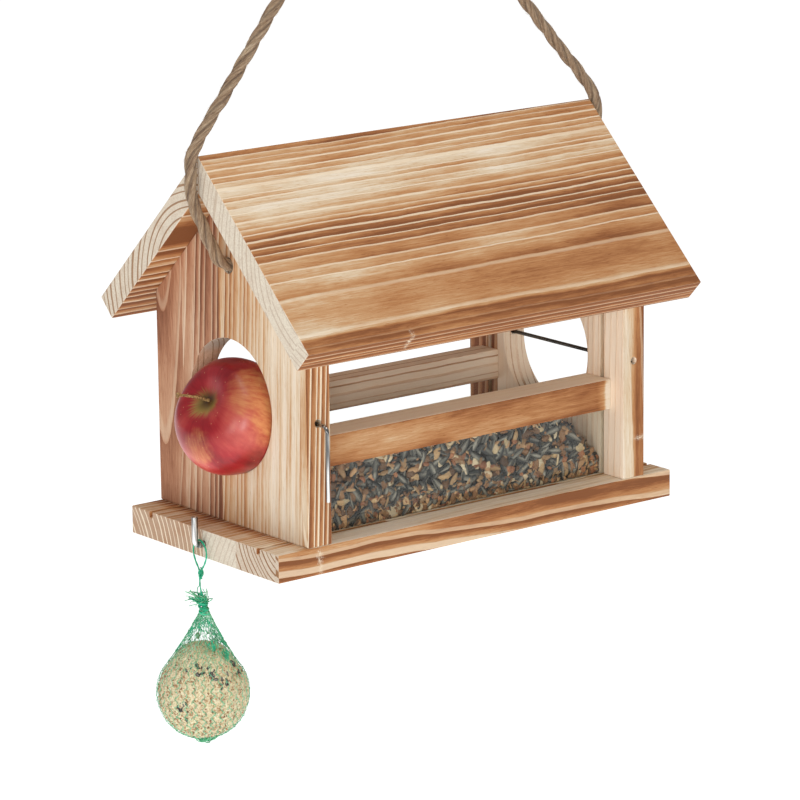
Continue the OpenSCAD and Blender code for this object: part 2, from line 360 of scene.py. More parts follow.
def swept(path, radius_at, around):
    """Points of a tube whose radius at ring i and angle a is radius_at(i, a)."""
    side, other = frames_along(path)
    angles = angles_round(around)
    rings = np.arange(len(path))[:, None]
    radius = radius_at(rings, angles[None, :]) * np.ones((len(path), around))
    spread = (side[:, None] * np.cos(angles)[None, :, None]
              + other[:, None] * np.sin(angles)[None, :, None])
    return (path[:, None] + spread * radius[..., None]).reshape(-1, 3)


def smooth_line(points, steps):
    """Hermite curve through points, with unit directions halved at each point."""
    points = np.asarray(points, float)
    ahead = unit_rows(np.diff(points, axis=0))
    through = np.vstack([ahead[:1], unit_rows(ahead[:-1] + ahead[1:]), ahead[-1:]])
    line = []
    for a, b, u, v in zip(points, points[1:], through, through[1:]):
        span = np.linalg.norm(b - a)
        for t in np.arange(steps) / steps:
            line.append((2 * t**3 - 3 * t**2 + 1) * a + (t**3 - 2 * t**2 + t) * span * u
                        + (3 * t**2 - 2 * t**3) * b + (t**3 - t**2) * span * v)
    line.append(points[-1])
    return np.array(line)


# ---- rope and string ----

ROPE_DIAMETER = 8.0
ROPE_HOLE_HEIGHT = 165
# the bend over the hanging point: half its width, and how far its ends lie below its top
ROPE_BEND = 11
ROPE_BEND_DROP = 5
ROPE_LEG_STEPS = 6
# distance from the middle of the house and height, from a gable's inner face up
# to just above the ridge: the same route as the CAD rope
ROPE_FOOT = [
    (118.7, 165), (128, 165), (133, 165), (138, 165.8), (143, 169), (147, 175),
    (151.5, 184), (157.5, 197), (162.6, 209.5), (163.6, 219), (163.4, 228),
    (162.7, 235), (160.8, 240),
]
ROPE_KNOT_HALF = 14.6
STRING_DIAMETER = 1.2
STRING_KNOT_THREAD = 1.15
STRING_KNOT_DIAMETER = 1.3
STRING_KNOT_HALF = 3.4
KNOT_POINTS = 96
KNOT_ROUNDS = 420
KNOT_PULL_ROUNDS = 250
BALL_X = -163
# y and z, in house mm, from the knot up round the hook and back
STRING_ROUTE = [
    (0.8, -36.2), (0.8, -31), (1, -26), (5, -20), (7, -14), (5.2, -8.8), (2.4, -6.6),
    (0, -5.9), (-2.4, -6.6), (-5.2, -8.8), (-7, -14), (-5, -20), (-1, -26), (-1, -31),
]


def rope_route():
    """The rope's centreline from the left gable to the right one, in house mm."""
    left = [(-x, 0, z) for x, z in ROPE_FOOT]
    right = [(x, 0, z) for x, z in ROPE_FOOT]
    top_z = HANG_HEIGHT + ROPE_DIAMETER / 2
    top = [(k * ROPE_BEND - HANG_SHIFT, 0, top_z - abs(k) * ROPE_BEND_DROP)
           for k in (-1, 0, 1)]

    def leg(a, b):
        a, b = np.array(a, float), np.array(b, float)
        return [tuple(a + (b - a) * k / ROPE_LEG_STEPS) for k in range(1, ROPE_LEG_STEPS)]

    route = left + leg(left[-1], top[0]) + top
    route += (right + leg(right[-1], top[2]))[::-1]
    return smooth_line(route, 2)


def strand_radius(angle, strands, outer, swell):
    """Radius of a bundle of round strands at an angle; swell is a strand's radius."""
    wedge = FULL_TURN / strands
    off = (angle + wedge / 2) % wedge - wedge / 2
    centre = outer - swell
    return centre * np.cos(off) + np.sqrt(np.maximum(
        swell**2 - (centre * np.sin(off))**2, 0.01 * swell**2))


def laid_cord(name, route, diameter, material, body, lay, strands, swell, spacing, around,
              yarn=0.0, wander=0.0, seed=1):
    """A twisted cord along route, in house mm. Its "run" attribute follows the lay.

    swell is a strand's radius, yarn and wander are how uneven the cord is.
    """
    path = resampled(route, spacing)
    run = np.r_[0, np.cumsum(np.linalg.norm(np.diff(path, axis=0), axis=1))]
    dice = np.random.default_rng(seed)
    phases = dice.uniform(0, FULL_TURN, 4)
    uneven = wander * sum(np.sin(run / (9 + 7 * k) + phases[k]) for k in range(4)) / 4

    def radius_at(ring, angle):
        along = run[ring]
        turned = angle - FULL_TURN * along / lay
        base = strand_radius(turned, strands, diameter / 2, swell)
        ridges = yarn * np.sin(5 * strands * turned + along * 1.7)
        return base * (1 + uneven[ring]) + ridges

    points = swept(path, radius_at, around)
    piece = new_piece(name, in_frame(points), ring_faces(len(path), around), material, body)
    angle = angles_round(around) - FULL_TURN * run[:, None] / lay
    half = diameter / 2
    store(piece, "run", "vector", np.stack([
        half * np.cos(angle), half * np.sin(angle), run[:, None] * np.ones((1, around))], -1))
    return piece, path


def fibre_tufts(name, path, count, radius, reach, thickness, material, body):
    """Loose fibres that stand off a cord along path."""
    dice = np.random.default_rng(2)
    side, other = frames_along(path)
    forward = unit_rows(np.gradient(path, axis=0))
    steps, sides = 6, 3
    t = np.linspace(0, 1, steps)
    taper = thickness / 2 * (1.05 - 0.7 * t)
    share = t[:, None]
    parts = []
    for _ in range(count):
        i = dice.integers(3, len(path) - 3)
        angle = dice.uniform(0, FULL_TURN)
        out = side[i] * math.cos(angle) + other[i] * math.sin(angle)
        around = other[i] * math.cos(angle) - side[i] * math.sin(angle)
        lean = forward[i] * dice.choice([-1, 1]) + around * dice.normal(0, 0.5)
        length = dice.uniform(0.4, 1) * reach
        lift = dice.uniform(0.15, 0.55)
        fibre = (path[i] + out * (radius * 0.9) + lean * length * share
                 + out * length * lift * share ** dice.uniform(0.7, 2.0)
                 + around * length * dice.normal(0, 0.25) * share**2)
        parts.append((swept(fibre, lambda ring, _: taper[ring], sides),
                      ring_faces(steps, sides, False)))
    return joined_piece(name, parts, material, body)


def overhand_route(diameter):
    """Centreline of an overhand knot round the X axis, pulled tight. Its ends lie on X.

    Each round moves the ends apart, evens out the spacing and the bends, and pushes
    points that are nearer than a diameter away from each other.
    """
    t = np.linspace(-2.25, 2.25, KNOT_POINTS)
    line = np.stack([(t**3 - 3 * t) * 0.9, (t**4 - 4 * t**2 + 1.3) * 0.75,
                     (t**5 / 5 - 1.5 * t**3 + 1.2 * t) * 0.55], 1) * diameter
    ends = line[0].copy(), line[-1].copy()
    index = np.arange(KNOT_POINTS)
    steps_apart = np.abs(np.subtract.outer(index, index))
    for step in range(KNOT_ROUNDS):
        pull = min(1.0, step / KNOT_PULL_ROUNDS)
        target = diameter * (0.62 - 0.42 * pull)
        for pin, end, way in ((0, ends[0], -1), (-1, ends[1], 1)):
            goal = np.array([way * diameter * 3.2, 0, 0])
            line[pin] = end + (goal - end) * pull
        gap = np.diff(line, axis=0)
        length = np.linalg.norm(gap, axis=1, keepdims=True)
        fix = gap * (1 - target / np.maximum(length, 1e-6)) * 0.45
        line[:-1] += fix
        line[1:] -= fix
        line[1:-1] += (line[:-2] + line[2:] - 2 * line[1:-1]) * 0.12
        apart = line[:, None] - line[None]
        distance = np.linalg.norm(apart, axis=2)
        close = (distance < diameter) & (steps_apart * target > 1.7 * diameter)
        push = np.where(close, (diameter - distance) / np.maximum(distance, 1e-6), 0)
        line += (apart * push[..., None]).sum(1) * 0.30
    return line


def jute_material():
    g = Graph("jute")
    run = g.attribute("run", "Vector")
    fibres = g.noise(run, (2.6, 2.6, 0.24), 4, 0.76)
    coarse = g.noise(run, (0.6, 0.6, 0.05))
    colour = g.ramp(fibres * 0.65 + coarse * 0.35, shades(
        (0.34, 76, 52, 36), (0.43, 144, 111, 82), (0.53, 186, 155, 122), (0.65, 226, 202, 170)))
    # Painted shade: the colour darkens where the strands meet.
    cosine = g.dot(run, X) * (2 / ROPE_DIAMETER)
    thrice = g.math("POWER", cosine, 3.0) * 4.0 - cosine * 3.0
    groove_shade = g.step(thrice, -1.0, -0.5, 0.45, 0.0)
    colour = g.mix(groove_shade, colour, linear(76, 54, 38))
    return g.finish(
        Base_Color=colour, Roughness=0.85, Normal=g.bump(fibres, 0.0020), Sheen_Weight=0.1)


def fibre_material():
    g = Graph("jute_fibre")
    colour = g.ramp(g.noise(g.space(), 60), shades((0.3, 150, 120, 84), (0.7, 214, 190, 152)))
    return g.finish(Base_Color=colour, Roughness=0.8)


def plastic_green(name, dark, light):
    """Green polyethylene thread, a little see-through where it is thin."""
    g = Graph(name)
    colour = g.ramp(g.noise(g.space(), 220, 3), [(0.3, dark), (0.7, light)])
    return g.finish(
        Base_Color=colour, Roughness=0.38, Subsurface_Weight=0.15,
        Subsurface_Radius=(0.4, 1.0, 0.6), Subsurface_Scale=0.001,
        Normal=g.bump(g.noise(g.space(), 900), 0.0002, 0.4),
    )


ROPE_LOOK = {"material": jute_material(), "body": "house", "lay": 52.0, "strands": 3,
             "swell": 2.35, "yarn": 0.10}
STRING_LOOK = {
    "material": plastic_green("string_green", linear(0, 138, 96), linear(24, 178, 134)),
    "body": "string_loop", "lay": 9.0, "strands": 2, "spacing": 0.3,
}


def make_rope():
    rope, path = laid_cord("rope_laid", rope_route(), ROPE_DIAMETER, **ROPE_LOOK,
                           spacing=1.3, around=42, wander=0.05)
    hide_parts("rope")
    fuzz = fibre_tufts("rope_fuzz", path, count=1100, radius=ROPE_DIAMETER / 2, reach=5.0,
                       thickness=0.13, material=fibre_material(), body="house")
    knots = [make_rope_knot(end) for end in (-1, 1)]
    metres = in_frame(path)
    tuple(metres[0])


def make_rope_knot(end):
    """The stopper knot inside one gable: end is -1 for the left and +1 for the right."""
    name = "rope_knot_left" if end < 0 else "rope_knot_right"
    low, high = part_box(name)
    middle = (low.x + high.x) / 2 / MM - HANG_SHIFT
    route = overhand_route(ROPE_DIAMETER)
    route = route[np.abs(route[:, 0]) < ROPE_KNOT_HALF] + (middle, 0, ROPE_HOLE_HEIGHT)
    knot, _ = laid_cord(name + "_tied", smooth_line(route, 3), ROPE_DIAMETER, **ROPE_LOOK,
                        spacing=1.2, around=30, seed=5)
    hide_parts(name)
    return knot


def make_string():
    route = smooth_line([(BALL_X, y, z) for y, z in STRING_ROUTE], 4)
    string, path = laid_cord("string_loop_cord", route, STRING_DIAMETER, **STRING_LOOK,
                             swell=0.44, around=16)
    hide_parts("ball_string")
    knot_route = overhand_route(STRING_KNOT_THREAD)[:, [2, 1, 0]] * (1, 1, -1)
    low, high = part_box("string_knot")
    centre = (low + high) / 2 / MM + Vector((-HANG_SHIFT, 0, HANG_HEIGHT))
    knot_route = knot_route[np.abs(knot_route[:, 2]) < STRING_KNOT_HALF] + tuple(centre)
    knot, _ = laid_cord("string_knot_tied", smooth_line(knot_route, 3),
                        STRING_KNOT_DIAMETER, **STRING_LOOK, swell=0.42, around=14, seed=3)
    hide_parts("string_knot")
    metres = in_frame(path)
    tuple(metres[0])


make_rope()
make_string()


# ---- wood ----

PITCH = math.radians(44)
SLOPE = 152
PALE_LINE = linear(240, 223, 197)
SCAR = linear(234, 220, 196)
END_GRAIN = linear(222, 212, 194)
END_DARK = linear(176, 138, 110)
END_LINE = linear(150, 110, 76)
FLAME = shades((0.0, 230, 216, 196), (0.2, 216, 193, 162), (0.42, 198, 154, 111),
               (0.62, 180, 126, 81), (0.82, 152, 97, 59), (1.0, 118, 71, 43))
ROSY_FLAME = shades((0.0, 226, 206, 184), (0.2, 214, 184, 157), (0.42, 196, 152, 121),
                    (0.62, 173, 122, 92), (0.8, 146, 96, 70), (1.0, 110, 68, 48))
RAW = shades((0.0, 246, 228, 206), (0.3, 240, 214, 186), (0.6, 212, 172, 139),
             (1.0, 156, 113, 82))
# how quickly each pattern changes per mm along, across and into a board
SLOW_BEND, QUICK_BEND, FINE_BEND = (
    (0.0035, 0.008, 0.010), (0.020, 0.05, 0.05), (0.09, 0.12, 0.12))
SWAY = (0.011, 0.02, 0.02)
FIBRES, STREAKS, PORES = (0.075, 1.2, 1.2), (0.022, 0.42, 0.42), (0.15, 1.7, 1.7)
FACE_CLOUDS, EDGE_CLOUDS = (0.012, 0.04, 0.04), (0.015, 0.09, 0.09)
SAW_MARKS, END_BLOTCHES = (0.5, 1.4, 1.4), (0.1, 0.10, 0.10)
TORN, SHREDS = (0.45, 0.6, 0.6), (1.1, 0.7, 0.7)
# distance from a big hole's middle where its wall's look fades out
HOLE_WALL = (46.0, 50.0)
REST = 400
EDGE_ROUND = 0.7


class Board:
    """Where a board lies: a corner, and its directions along, across and inwards."""

    def __init__(self, corner, grain, across):
        self.corner = corner
        self.grain = grain
        self.across = across
        self.inward = grain.cross(across).normalized()


class Stave:
    """One strip of a glued board, up to limit mm across it. REST ends the last one.

    pith and deep place the middle of its growth rings across and into the board.
    end_tone is how dark its end grain is, line how strong its ring lines are and
    rosy how pink it is, each from 0 to 1. contrast is how much darker the flame left
    the start of each ring. bare is 1 where this strip's plain faces keep their raw colour;
    at 0 they take the dark flame colour, as scorch and as painted shade.
    """

    def __init__(self, limit, pith, deep, spacing, end_tone=0.0, line=1.0, end_line=0.8,
                 rosy=0.0, contrast=0.34, bare=1.0):
        self.limit, self.pith, self.deep, self.spacing = limit, pith, deep, spacing
        self.end_tone, self.line, self.end_line = end_tone, line, end_line
        self.rosy, self.contrast, self.bare = rosy, contrast, bare


class Place:
    """Signals over a board: mm along, across and into it, all three, and its normal."""

    def __init__(self, g, board, staves, seed):
        self.g, self.board, self.staves, self.seed = g, board, staves, seed
        rel = g.vector("SUBTRACT", g.space(), tuple(board.corner))
        self.length, self.side, self.deep = (
            g.dot(rel, way) * (1 / MM) for way in (board.grain, board.across, board.inward))
        self.local = g.xyz(self.length + seed, self.side, self.deep)
        self.normal = g.space("Normal")

    def stave(self, name):
        """The named number of the stave that each point lies in."""
        result = getattr(self.staves[-1], name)
        for stave in reversed(self.staves[:-1]):
            inside = self.g.math("LESS_THAN", self.side, stave.limit)
            inputs = {0: inside, 2: result, 3: getattr(stave, name)}
            result = self.g.node("Mix", inputs, data_type="FLOAT")
        return result

    def facing(self, direction):
        """1 where the surface faces along direction, and 0 elsewhere."""
        return self.g.step(self.g.dot(self.normal, direction), 0.62, 0.82)

    def square_to(self, direction):
        """1 where the surface lies square to direction, and 0 where it runs along it."""
        return abs(self.g.dot(self.normal, direction))


def along_scale(g, value, bands):
    """A number between the given (millimetre, number) bands."""
    low, high = bands[0][0], bands[-1][0]
    return g.ramp((value - low) / (high - low),
                  [((place - low) / (high - low), number) for place, number in bands])


class Rings:
    """Growth rings on all faces of a board, as signals.

    late is the thin latewood line, early is strongest just outside it, luck is random
    for each ring, and mood changes slowly along each ring, round 0.
    """

    def __init__(self, place, bend, taper, tilt, sway):
        g, local, length, seed = place.g, place.local, place.length, place.seed
        self.side = (place.side + g.swing(local, SLOW_BEND, bend, 1)
                     + g.swing(local, QUICK_BEND, 0.16 * bend, 2)
                     + g.swing(local, FINE_BEND, 0.35, 1) + length * tilt)
        across = self.side - place.stave("pith")
        depth = place.deep - place.stave("deep") + g.swing(local, SWAY, sway)
        radius = g.length(across, depth) + length * taper
        count = radius / place.stave("spacing")
        count = count + g.swing(g.xyz(count, seed), 0.45, 0.85, 1)
        phase, ring = g.math("FRACT", count), g.math("FLOOR", count)
        self.luck = g.random(ring + (seed + 37.5))
        flat = place.square_to(place.board.inward)
        narrow = place.square_to(place.board.across)
        shown = g.length(across * (1.0 - narrow), depth * (1.0 - flat))
        width = (0.12 + g.random(ring + seed) * 0.14) * (0.15 + shown / radius * 0.9)
        start = 0.97 - width
        self.late = g.step(phase, start - 0.06, start) * g.step(phase, 0.965, 1.0, 1.0, 0.0)
        self.early = g.step(phase, 0.0, 0.75, 1.0, 0.0)
        self.mood = g.noise(g.xyz(length * 0.011, ring * 5.3, seed), 1.0) - 0.5


def hole_wall(place, along, across):
    """1 on the wall of the big round hole round this middle, and 0 elsewhere."""
    g = place.g
    away = g.length(place.length - along, place.side - across)
    flat = place.square_to(place.board.inward)
    return g.step(away, *HOLE_WALL, 1.0, 0.0) * g.step(flat, 0.3, 0.6, 1.0, 0.0)


def scorch(place, rings, bands, along, edges, drift, patches):
    """How dark the flame left each point, from 0 to 1."""
    g, local = place.g, place.local
    burn = along_scale(g, rings.side, bands) + place.length * drift
    if along:
        burn = burn * along_scale(g, place.length, along)
    burn = (burn + g.swing(local, FACE_CLOUDS, patches, 3) + (rings.luck - 0.5) * 0.24
            + rings.mood * 0.75)
    for direction, edge_bands in edges:
        edge = (along_scale(g, place.deep, edge_bands) + rings.mood * 0.5
                + g.swing(local, EDGE_CLOUDS, 0.7 * patches, 3))
        share = place.facing(direction)
        burn = burn * (1.0 - share) + edge * share
    return g.math("MINIMUM", g.math("MAXIMUM", burn, 0.0), 1.0)


def wood(name, board, staves, bands, plain=(), edges=(), along=(), scars=(), hole=(),
         bend=8.0, taper=0.0, tilt=0.0, sway=0.0, drift=0.0, patches=0.2, line=0.9, seed=0.0,
         bare_tone=0.10):
    """Flame-scorched softwood whose rings and fibres run through all of a board's faces.

    bands: (mm across, how scorched) on the broad faces. along: (mm along, times that).
    edges: (direction, (mm in, how scorched) bands) for the narrow faces.
    plain: outward directions of the faces that the flame never touched.
    scars: (mm along, across, in, radius) of torn pale spots.
    hole: mm along and across to the middle of a big hole, and how dark its wall is.
    bare_tone: how dark the faces are that the flame never touched.
    """
    g = Graph(name)
    place = Place(g, board, staves, seed)
    rings = Rings(place, bend, taper, tilt, sway)
    burn = scorch(place, rings, bands, along, edges, drift, patches)

    fibres = g.noise(place.local, FIBRES, 4, 0.7)
    streaks = g.noise(place.local, STREAKS, 3, 0.6)
    fibre_tone = (fibres - 0.5) * 0.62 + (streaks - 0.5) * 0.42
    dashes = g.step(g.noise(place.local, PORES, 1), 0.64, 0.74)
    strength = rings.late * (0.45 + rings.luck * 0.55) * place.stave("line")

    contrast = place.stave("contrast")
    dark = burn * (1.0 - contrast * 0.6 + rings.early * contrast)
    dark = g.math("MINIMUM", dark + (fibre_tone + dashes * 0.16), 0.94)
    flame = g.mix(place.stave("rosy"), g.ramp(dark, FLAME), g.ramp(dark, ROSY_FLAME))
    pale = g.mix(g.math("MINIMUM", burn * 0.45, 0.5), PALE_LINE, FLAME[1][1])
    colour = g.mix(strength * line, flame, pale)

    raw = (bare_tone + strength * 0.62 + (fibre_tone * 0.8 + dashes * 0.10)
           + rings.mood * 0.3)
    for way in plain:
        colour = g.mix(place.facing(way) * place.stave("bare"), colour, g.ramp(raw, RAW))
    if hole:
        along_hole, across_hole, wall_tone = hole
        colour = g.mix(hole_wall(place, along_hole, across_hole), colour,
                       g.ramp(raw + wall_tone, RAW))

    ends = g.step(place.square_to(board.grain), 0.6, 0.8)
    colour = with_scars(place, g.mix(ends, colour, end_grain(place, rings)), scars)
    relief = rings.late * 0.7 + fibres * 0.6 + dashes * -0.2
    return g.finish(Base_Color=colour, Roughness=0.58 + fibres * 0.16,
                    Normal=g.bump(relief, 0.0005, 0.6), Specular_IOR_Level=0.14)


def end_grain(place, rings):
    """Colour of a sawn end: rings as lines on a paler ground."""
    g, tone = place.g, place.stave("end_tone")
    rough = g.noise(place.local, SAW_MARKS, 3, 0.65)
    blotch = g.noise(place.local, END_BLOTCHES)
    ground = g.mix(tone + (blotch - 0.5) * 0.5, END_GRAIN, END_DARK)
    ground = g.mix(g.step(rough, 0.4, 0.75, 0.0, 0.4), ground, END_LINE)
    lines = g.mix(g.step(tone, 0.5, 0.8), END_LINE, PALE_LINE)
    return g.mix(rings.late * place.stave("end_line"), ground, lines)


def with_scars(place, colour, scars):
    """Adds torn whitish spots to a colour."""
    g = place.g
    for x, y, z, size in scars:
        torn = g.noise(place.local, TORN, 5, 0.75)
        shreds = g.step(g.noise(place.local, SHREDS, 3, 0.7), 0.40, 0.56)
        away = g.length((place.length - x) * 1.8, (place.side - y) * 0.7,
                        (place.deep - z) * 0.45) + torn * (3.2 * size)
        share = g.step(away, 1.2 * size, 2.8 * size, 0.95, 0.0) * shreds
        colour = g.mix(share, colour, SCAR)
    return colour


def soften_edges(piece, width):
    """Small rounds on a board's edges, as sanding leaves them."""
    weld = piece.modifiers.new("weld", "WELD")
    weld.merge_threshold = 0.00001
    merge = piece.modifiers.new("flatten", "DECIMATE")
    merge.decimate_type = "DISSOLVE"
    merge.angle_limit = math.radians(0.5)
    bevel = piece.modifiers.new("edges", "BEVEL")
    bevel.width = width * MM
    bevel.segments = 2
    bevel.limit_method = "ANGLE"
    bevel.angle_limit = math.radians(40)
    bevel.use_clamp_overlap = False
    bevel.miter_outer = "MITER_ARC"


def cover(material, *nodes, edge=0.0):
    """Gives CAD nodes their material, and softer edges if edge is above 0."""
    for node in nodes:
        piece = NODES[node]
        piece.data.materials.clear()
        piece.data.materials.append(material)
        if edge:
            soften_edges(piece, edge)


def roof_woods():
    down_front = Vector((0, -math.cos(PITCH), -math.sin(PITCH)))
    down_back = Vector((0, math.cos(PITCH), -math.sin(PITCH)))
    eave = [(0, 1.08), (7, 1.02), (9, 0.84), (17, 0.92)]
    yield "roof_front", wood(
        "wood_roof_front", Board(at(-158, 0, 236), X, down_front),
        staves=[Stave(108, 130, -52, 4.3, 0.05, 1.0, 0.3),
                Stave(141.5, 126, -58, 4.7, 0.05, 0.5, 0.3),
                Stave(150.8, 126, -62, 3.3, 0.05, 0.12, 0.3),
                Stave(REST, 126, -62, 3.3, 0.05, 0.55, 0.3)],
        bands=[(0, 0.74), (7, 0.60), (13, 0.38), (20, 0.30), (30, 0.18), (46, 0.24),
               (56, 0.38), (62, 0.68), (76, 0.74), (84, 0.64), (92, 0.54), (104, 0.34),
               (112, 0.52), (124, 0.66), (137, 0.50), (141, 0.22), (143.5, 0.84),
               (SLOPE, 0.86)],
        plain=[Vector((0, math.sin(PITCH), -math.cos(PITCH)))],
        edges=[(down_front, eave)], bend=5, tilt=0.010, drift=0.0006, patches=0.24,
        scars=[(80, 152, 6, 4.4)], seed=11,
    )
    yield "roof_back", wood(
        "wood_roof_back", Board(at(158, 0, 236), -X, down_back),
        staves=[Stave(200, 60, 60, 4.8, 0.15, 1.0, 0.85, contrast=0.6)],
        bands=[(0, 0.75), (20, 0.55), (45, 0.5), (70, 0.9), (95, 0.7), (120, 0.9),
               (SLOPE, 1.0)],
        edges=[(down_back, eave)], bend=7, patches=0.2, seed=23,
    )


def gable_woods():
    yield "gable_left", wood(
        "wood_gable_left", Board(at(-137, 78, 0), Z, -Y),
        staves=[Stave(28, 6, -50, 4.4, 0.3, 0.30, rosy=1.0),
                Stave(67.5, 6, -50, 4.0, 0.3, 0.75, rosy=1.0, contrast=0.6),
                Stave(151, 46, -42, 3.2, rosy=0.15, line=0.85, contrast=0.7),
                Stave(REST, 158, -38, 4.2, rosy=0.1, line=1.5, contrast=0.5)],
        bands=[(0, 0.66), (14, 0.58), (28, 0.56), (44, 0.66), (58, 0.90), (67, 0.86),
               (69, 0.50), (80, 0.60), (94, 0.42), (106, 0.30), (122, 0.20), (148, 0.16),
               (156, 0.40)],
        along=[(0, 1.10), (20, 0.92), (60, 0.92), (110, 1.0), (212, 1.25)],
        plain=[X], edges=[(-Y, [(0, 0.84), (9, 0.64), (18, 0.80)])], hole=(75, 78, 0.45),
        bend=3, patches=0.24, taper=-0.04, seed=5,
    )
    yield "gable_right", wood(
        "wood_gable_right", Board(at(137, -78, 0), Z, Y),
        staves=[Stave(60, -44, 30, 5.4, line=0.6), Stave(127, 96, -50, 4.6, line=0.6),
                # The rear strip's inner face takes the dark flame colour: scorch and painted
                # shade of the house's inside.
                Stave(REST, 96, -50, 4.6, line=0.2, rosy=0.6, contrast=0.6, bare=0.0)],
        bands=[(0, 0.5), (14, 0.4), (50, 0.6), (75, 0.3), (110, 0.5), (124, 0.8), (130, 1.0),
               (156, 1.1)],
        plain=[-X], edges=[(-Y, [(0, 0.9), (6, 0.88), (9, 0.45), (12, 0.22), (18, 0.16)])],
        hole=(75, 78, 0.10),
        scars=[(26, 0, 3, 4)], bend=4, patches=0.2, line=0.9, taper=0.02, seed=71,
    )


def tray_woods():
    yield "floor_board", wood(
        "wood_floor", Board(at(-160, 78, 0), X, -Y),
        staves=[Stave(77, -60, 45, 4.6, 0.85, 0.8, 0.9), Stave(112, 200, 60, 4.4, 0.0, 0.5, 0.2),
                Stave(153, 164, -14, 3.7, 0.30, 1.0, 1.0),
                Stave(REST, 164, -14, 9.6, 0.30, 0.8, 1.0, contrast=0.55)],
        bands=[(0, 0.72), (30, 0.62), (76, 0.6), (110, 0.5), (140, 0.36), (150, 0.2),
               (156, 0.5)],
        along=[(0, 0.6), (12, 0.65), (18, 1.2), (22, 1.7), (26, 0.3), (294, 0.3), (298, 1.3),
               (306, 0.8), (320, 0.8)],
        edges=[(-Y, [(0, 0.66), (5, 0.92), (12, 0.84), (18, 0.74)])], sway=5.0,
        bend=4, taper=-0.035, patches=0.3, scars=[(32, 156, 9, 5.4)], seed=41,
    )
    yield "rail_front", wood(
        "wood_rail_front", Board(at(-119, -66, 65), X, -Z),
        staves=[Stave(REST, 12, 62, 6.5)],
        bands=[(0, 1.02), (4, 0.88), (10, 0.76), (15, 0.80), (20, 1.0)],
        along=[(0, 1.05), (60, 1.0), (100, 0.92), (135, 0.82), (165, 1.0), (200, 1.08),
               (226, 1.12), (232, 0.8), (234, 0.1), (238, 0.0)],
        plain=[Z, Y], bend=3, patches=0.8, line=0.7, bare_tone=-0.25, seed=3,
    )
    yield "rail_back", wood(
        "wood_rail_back", Board(at(119, 66, 65), -X, -Z),
        staves=[Stave(REST, -30, 28, 4.6)],
        bands=[(0, 0.6), (8, 0.5), (14, 0.5), (20, 0.65)],
        plain=[Z, -Y], bend=3, patches=0.2, seed=9,
    )


def dress_timber():
    for node, material in (*roof_woods(), *gable_woods(), *tray_woods()):
        cover(material, node, edge=EDGE_ROUND)
    beech = wood(
        "wood_dowel", Board(at(0, 0, 0), X, Y), staves=[Stave(REST, -20, 30, 1.6)],
        bands=[(-200, 0.2), (200, 0.2)], line=0.3, seed=15,
    )
    cover(beech, "roof_dowels", "rail_dowels")


dress_timber()


# ---- steel, panes ----

ROD_LOOK = {"dark_reflection": linear(104, 104, 104), "bright_reflection": linear(238, 238, 236),
            "roughness": 0.16, "scratch": 0.00005}
# how far from the middle, in metres, the skewers get painted shade
SKEWER_SHADE_M = 0.078


def steel(name, dark_reflection, bright_reflection, roughness, scratch, painted_shade_within=0.0):
    """Steel whose colour has pale and dark streaks down it: painted reflections
    of light and dark surroundings, on a drawn finish.

    painted_shade_within is how far, in metres, from the middle a crosswise rod gets a dark
    colour: painted shade and dark reflections of the house's inside.
    """
    g = Graph(name)
    where = g.space()
    fine = g.noise(where, 2600)
    # Painted reflections: pale and dark streaks of colour run down the rod.
    broad = g.noise(where, (620, 620, 26), 2, 0.6)
    colour = g.ramp(broad, [(0.42, dark_reflection), (0.5, linear(150, 150, 148)), (0.6, bright_reflection)])
    # Painted shade and dark reflections: a crosswise rod is dark inside the house.
    if painted_shade_within:
        rod = g.noise(where, (500, 40, 500), 2, 0.6)
        shade = g.ramp(rod, shades((0.35, 58, 57, 55), (0.65, 98, 96, 92)))
        lit = g.step(abs(g.dot(where, Y)), painted_shade_within, painted_shade_within + 0.003)
        colour = g.mix(lit, shade, colour)
    return g.finish(Base_Color=colour, Metallic=1.0, Roughness=roughness + (fine + broad) * 0.12,
                    Normal=g.bump(fine, scratch, 0.3))


def clear_pane():
    """Thin clear acrylic with a faint haze of seed dust."""
    g = Graph("clear_acrylic")
    through = g.node("BsdfTransparent", {0: (0.97, 0.98, 0.97, 1)})
    gloss = g.node("BsdfGlossy", {"Roughness": 0.04, "Color": (0.9, 0.9, 0.9, 1)})
    dust = g.node("BsdfDiffuse", {"Color": (0.85, 0.84, 0.82, 1)})
    dusty = g.step(g.noise(g.space(), 28, 4, 0.6), 0.45, 0.8, 0.002, 0.018)
    slant = g.node("LayerWeight", {"Blend": 0.1}, "Facing")
    sheet = g.node("MixShader", {0: dusty, 1: through, 2: dust})
    return g.show(g.node("MixShader", {0: slant * 0.25, 1: sheet, 2: gloss}))


cover(steel("bright_steel", **ROD_LOOK), "ball_hook")
cover(steel("skewer_steel", **ROD_LOOK, painted_shade_within=SKEWER_SHADE_M),
      "skewer_left", "skewer_right")
cover(steel("zinc_steel", linear(120, 118, 112), linear(186, 184, 178), 0.24, 0.0001),
      "floor_screws")
cover(clear_pane(), "pane_front", "pane_back")


# ---- seeds ----

# the bed of seed: its height at the front pane and its fall to the back
SEED_TOP = 45.0
SEED_SLOPE = math.tan(math.radians(7))
# half its width and half its length, between the panes and the gables
SEED_SIDE = 55.7
SEED_END = 118.7
# where it starts to fall to the right, and the share of its height that is left there
SEED_SLOPE_X = 82.0
SEED_LOW_SHARE = 0.18
# how far seeds may stand above the bed, and how far above the floor board they lie
SEED_PROUD = 3.0
SEED_FLOOR = 0.2
SEED_GRID = 8.2
SMALL_KINDS = (1, 2, 4, 5, 6, 7)
APPLE_X = -136.0
APPLE_Z = 71.3
APPLE_ROOM = 45.0


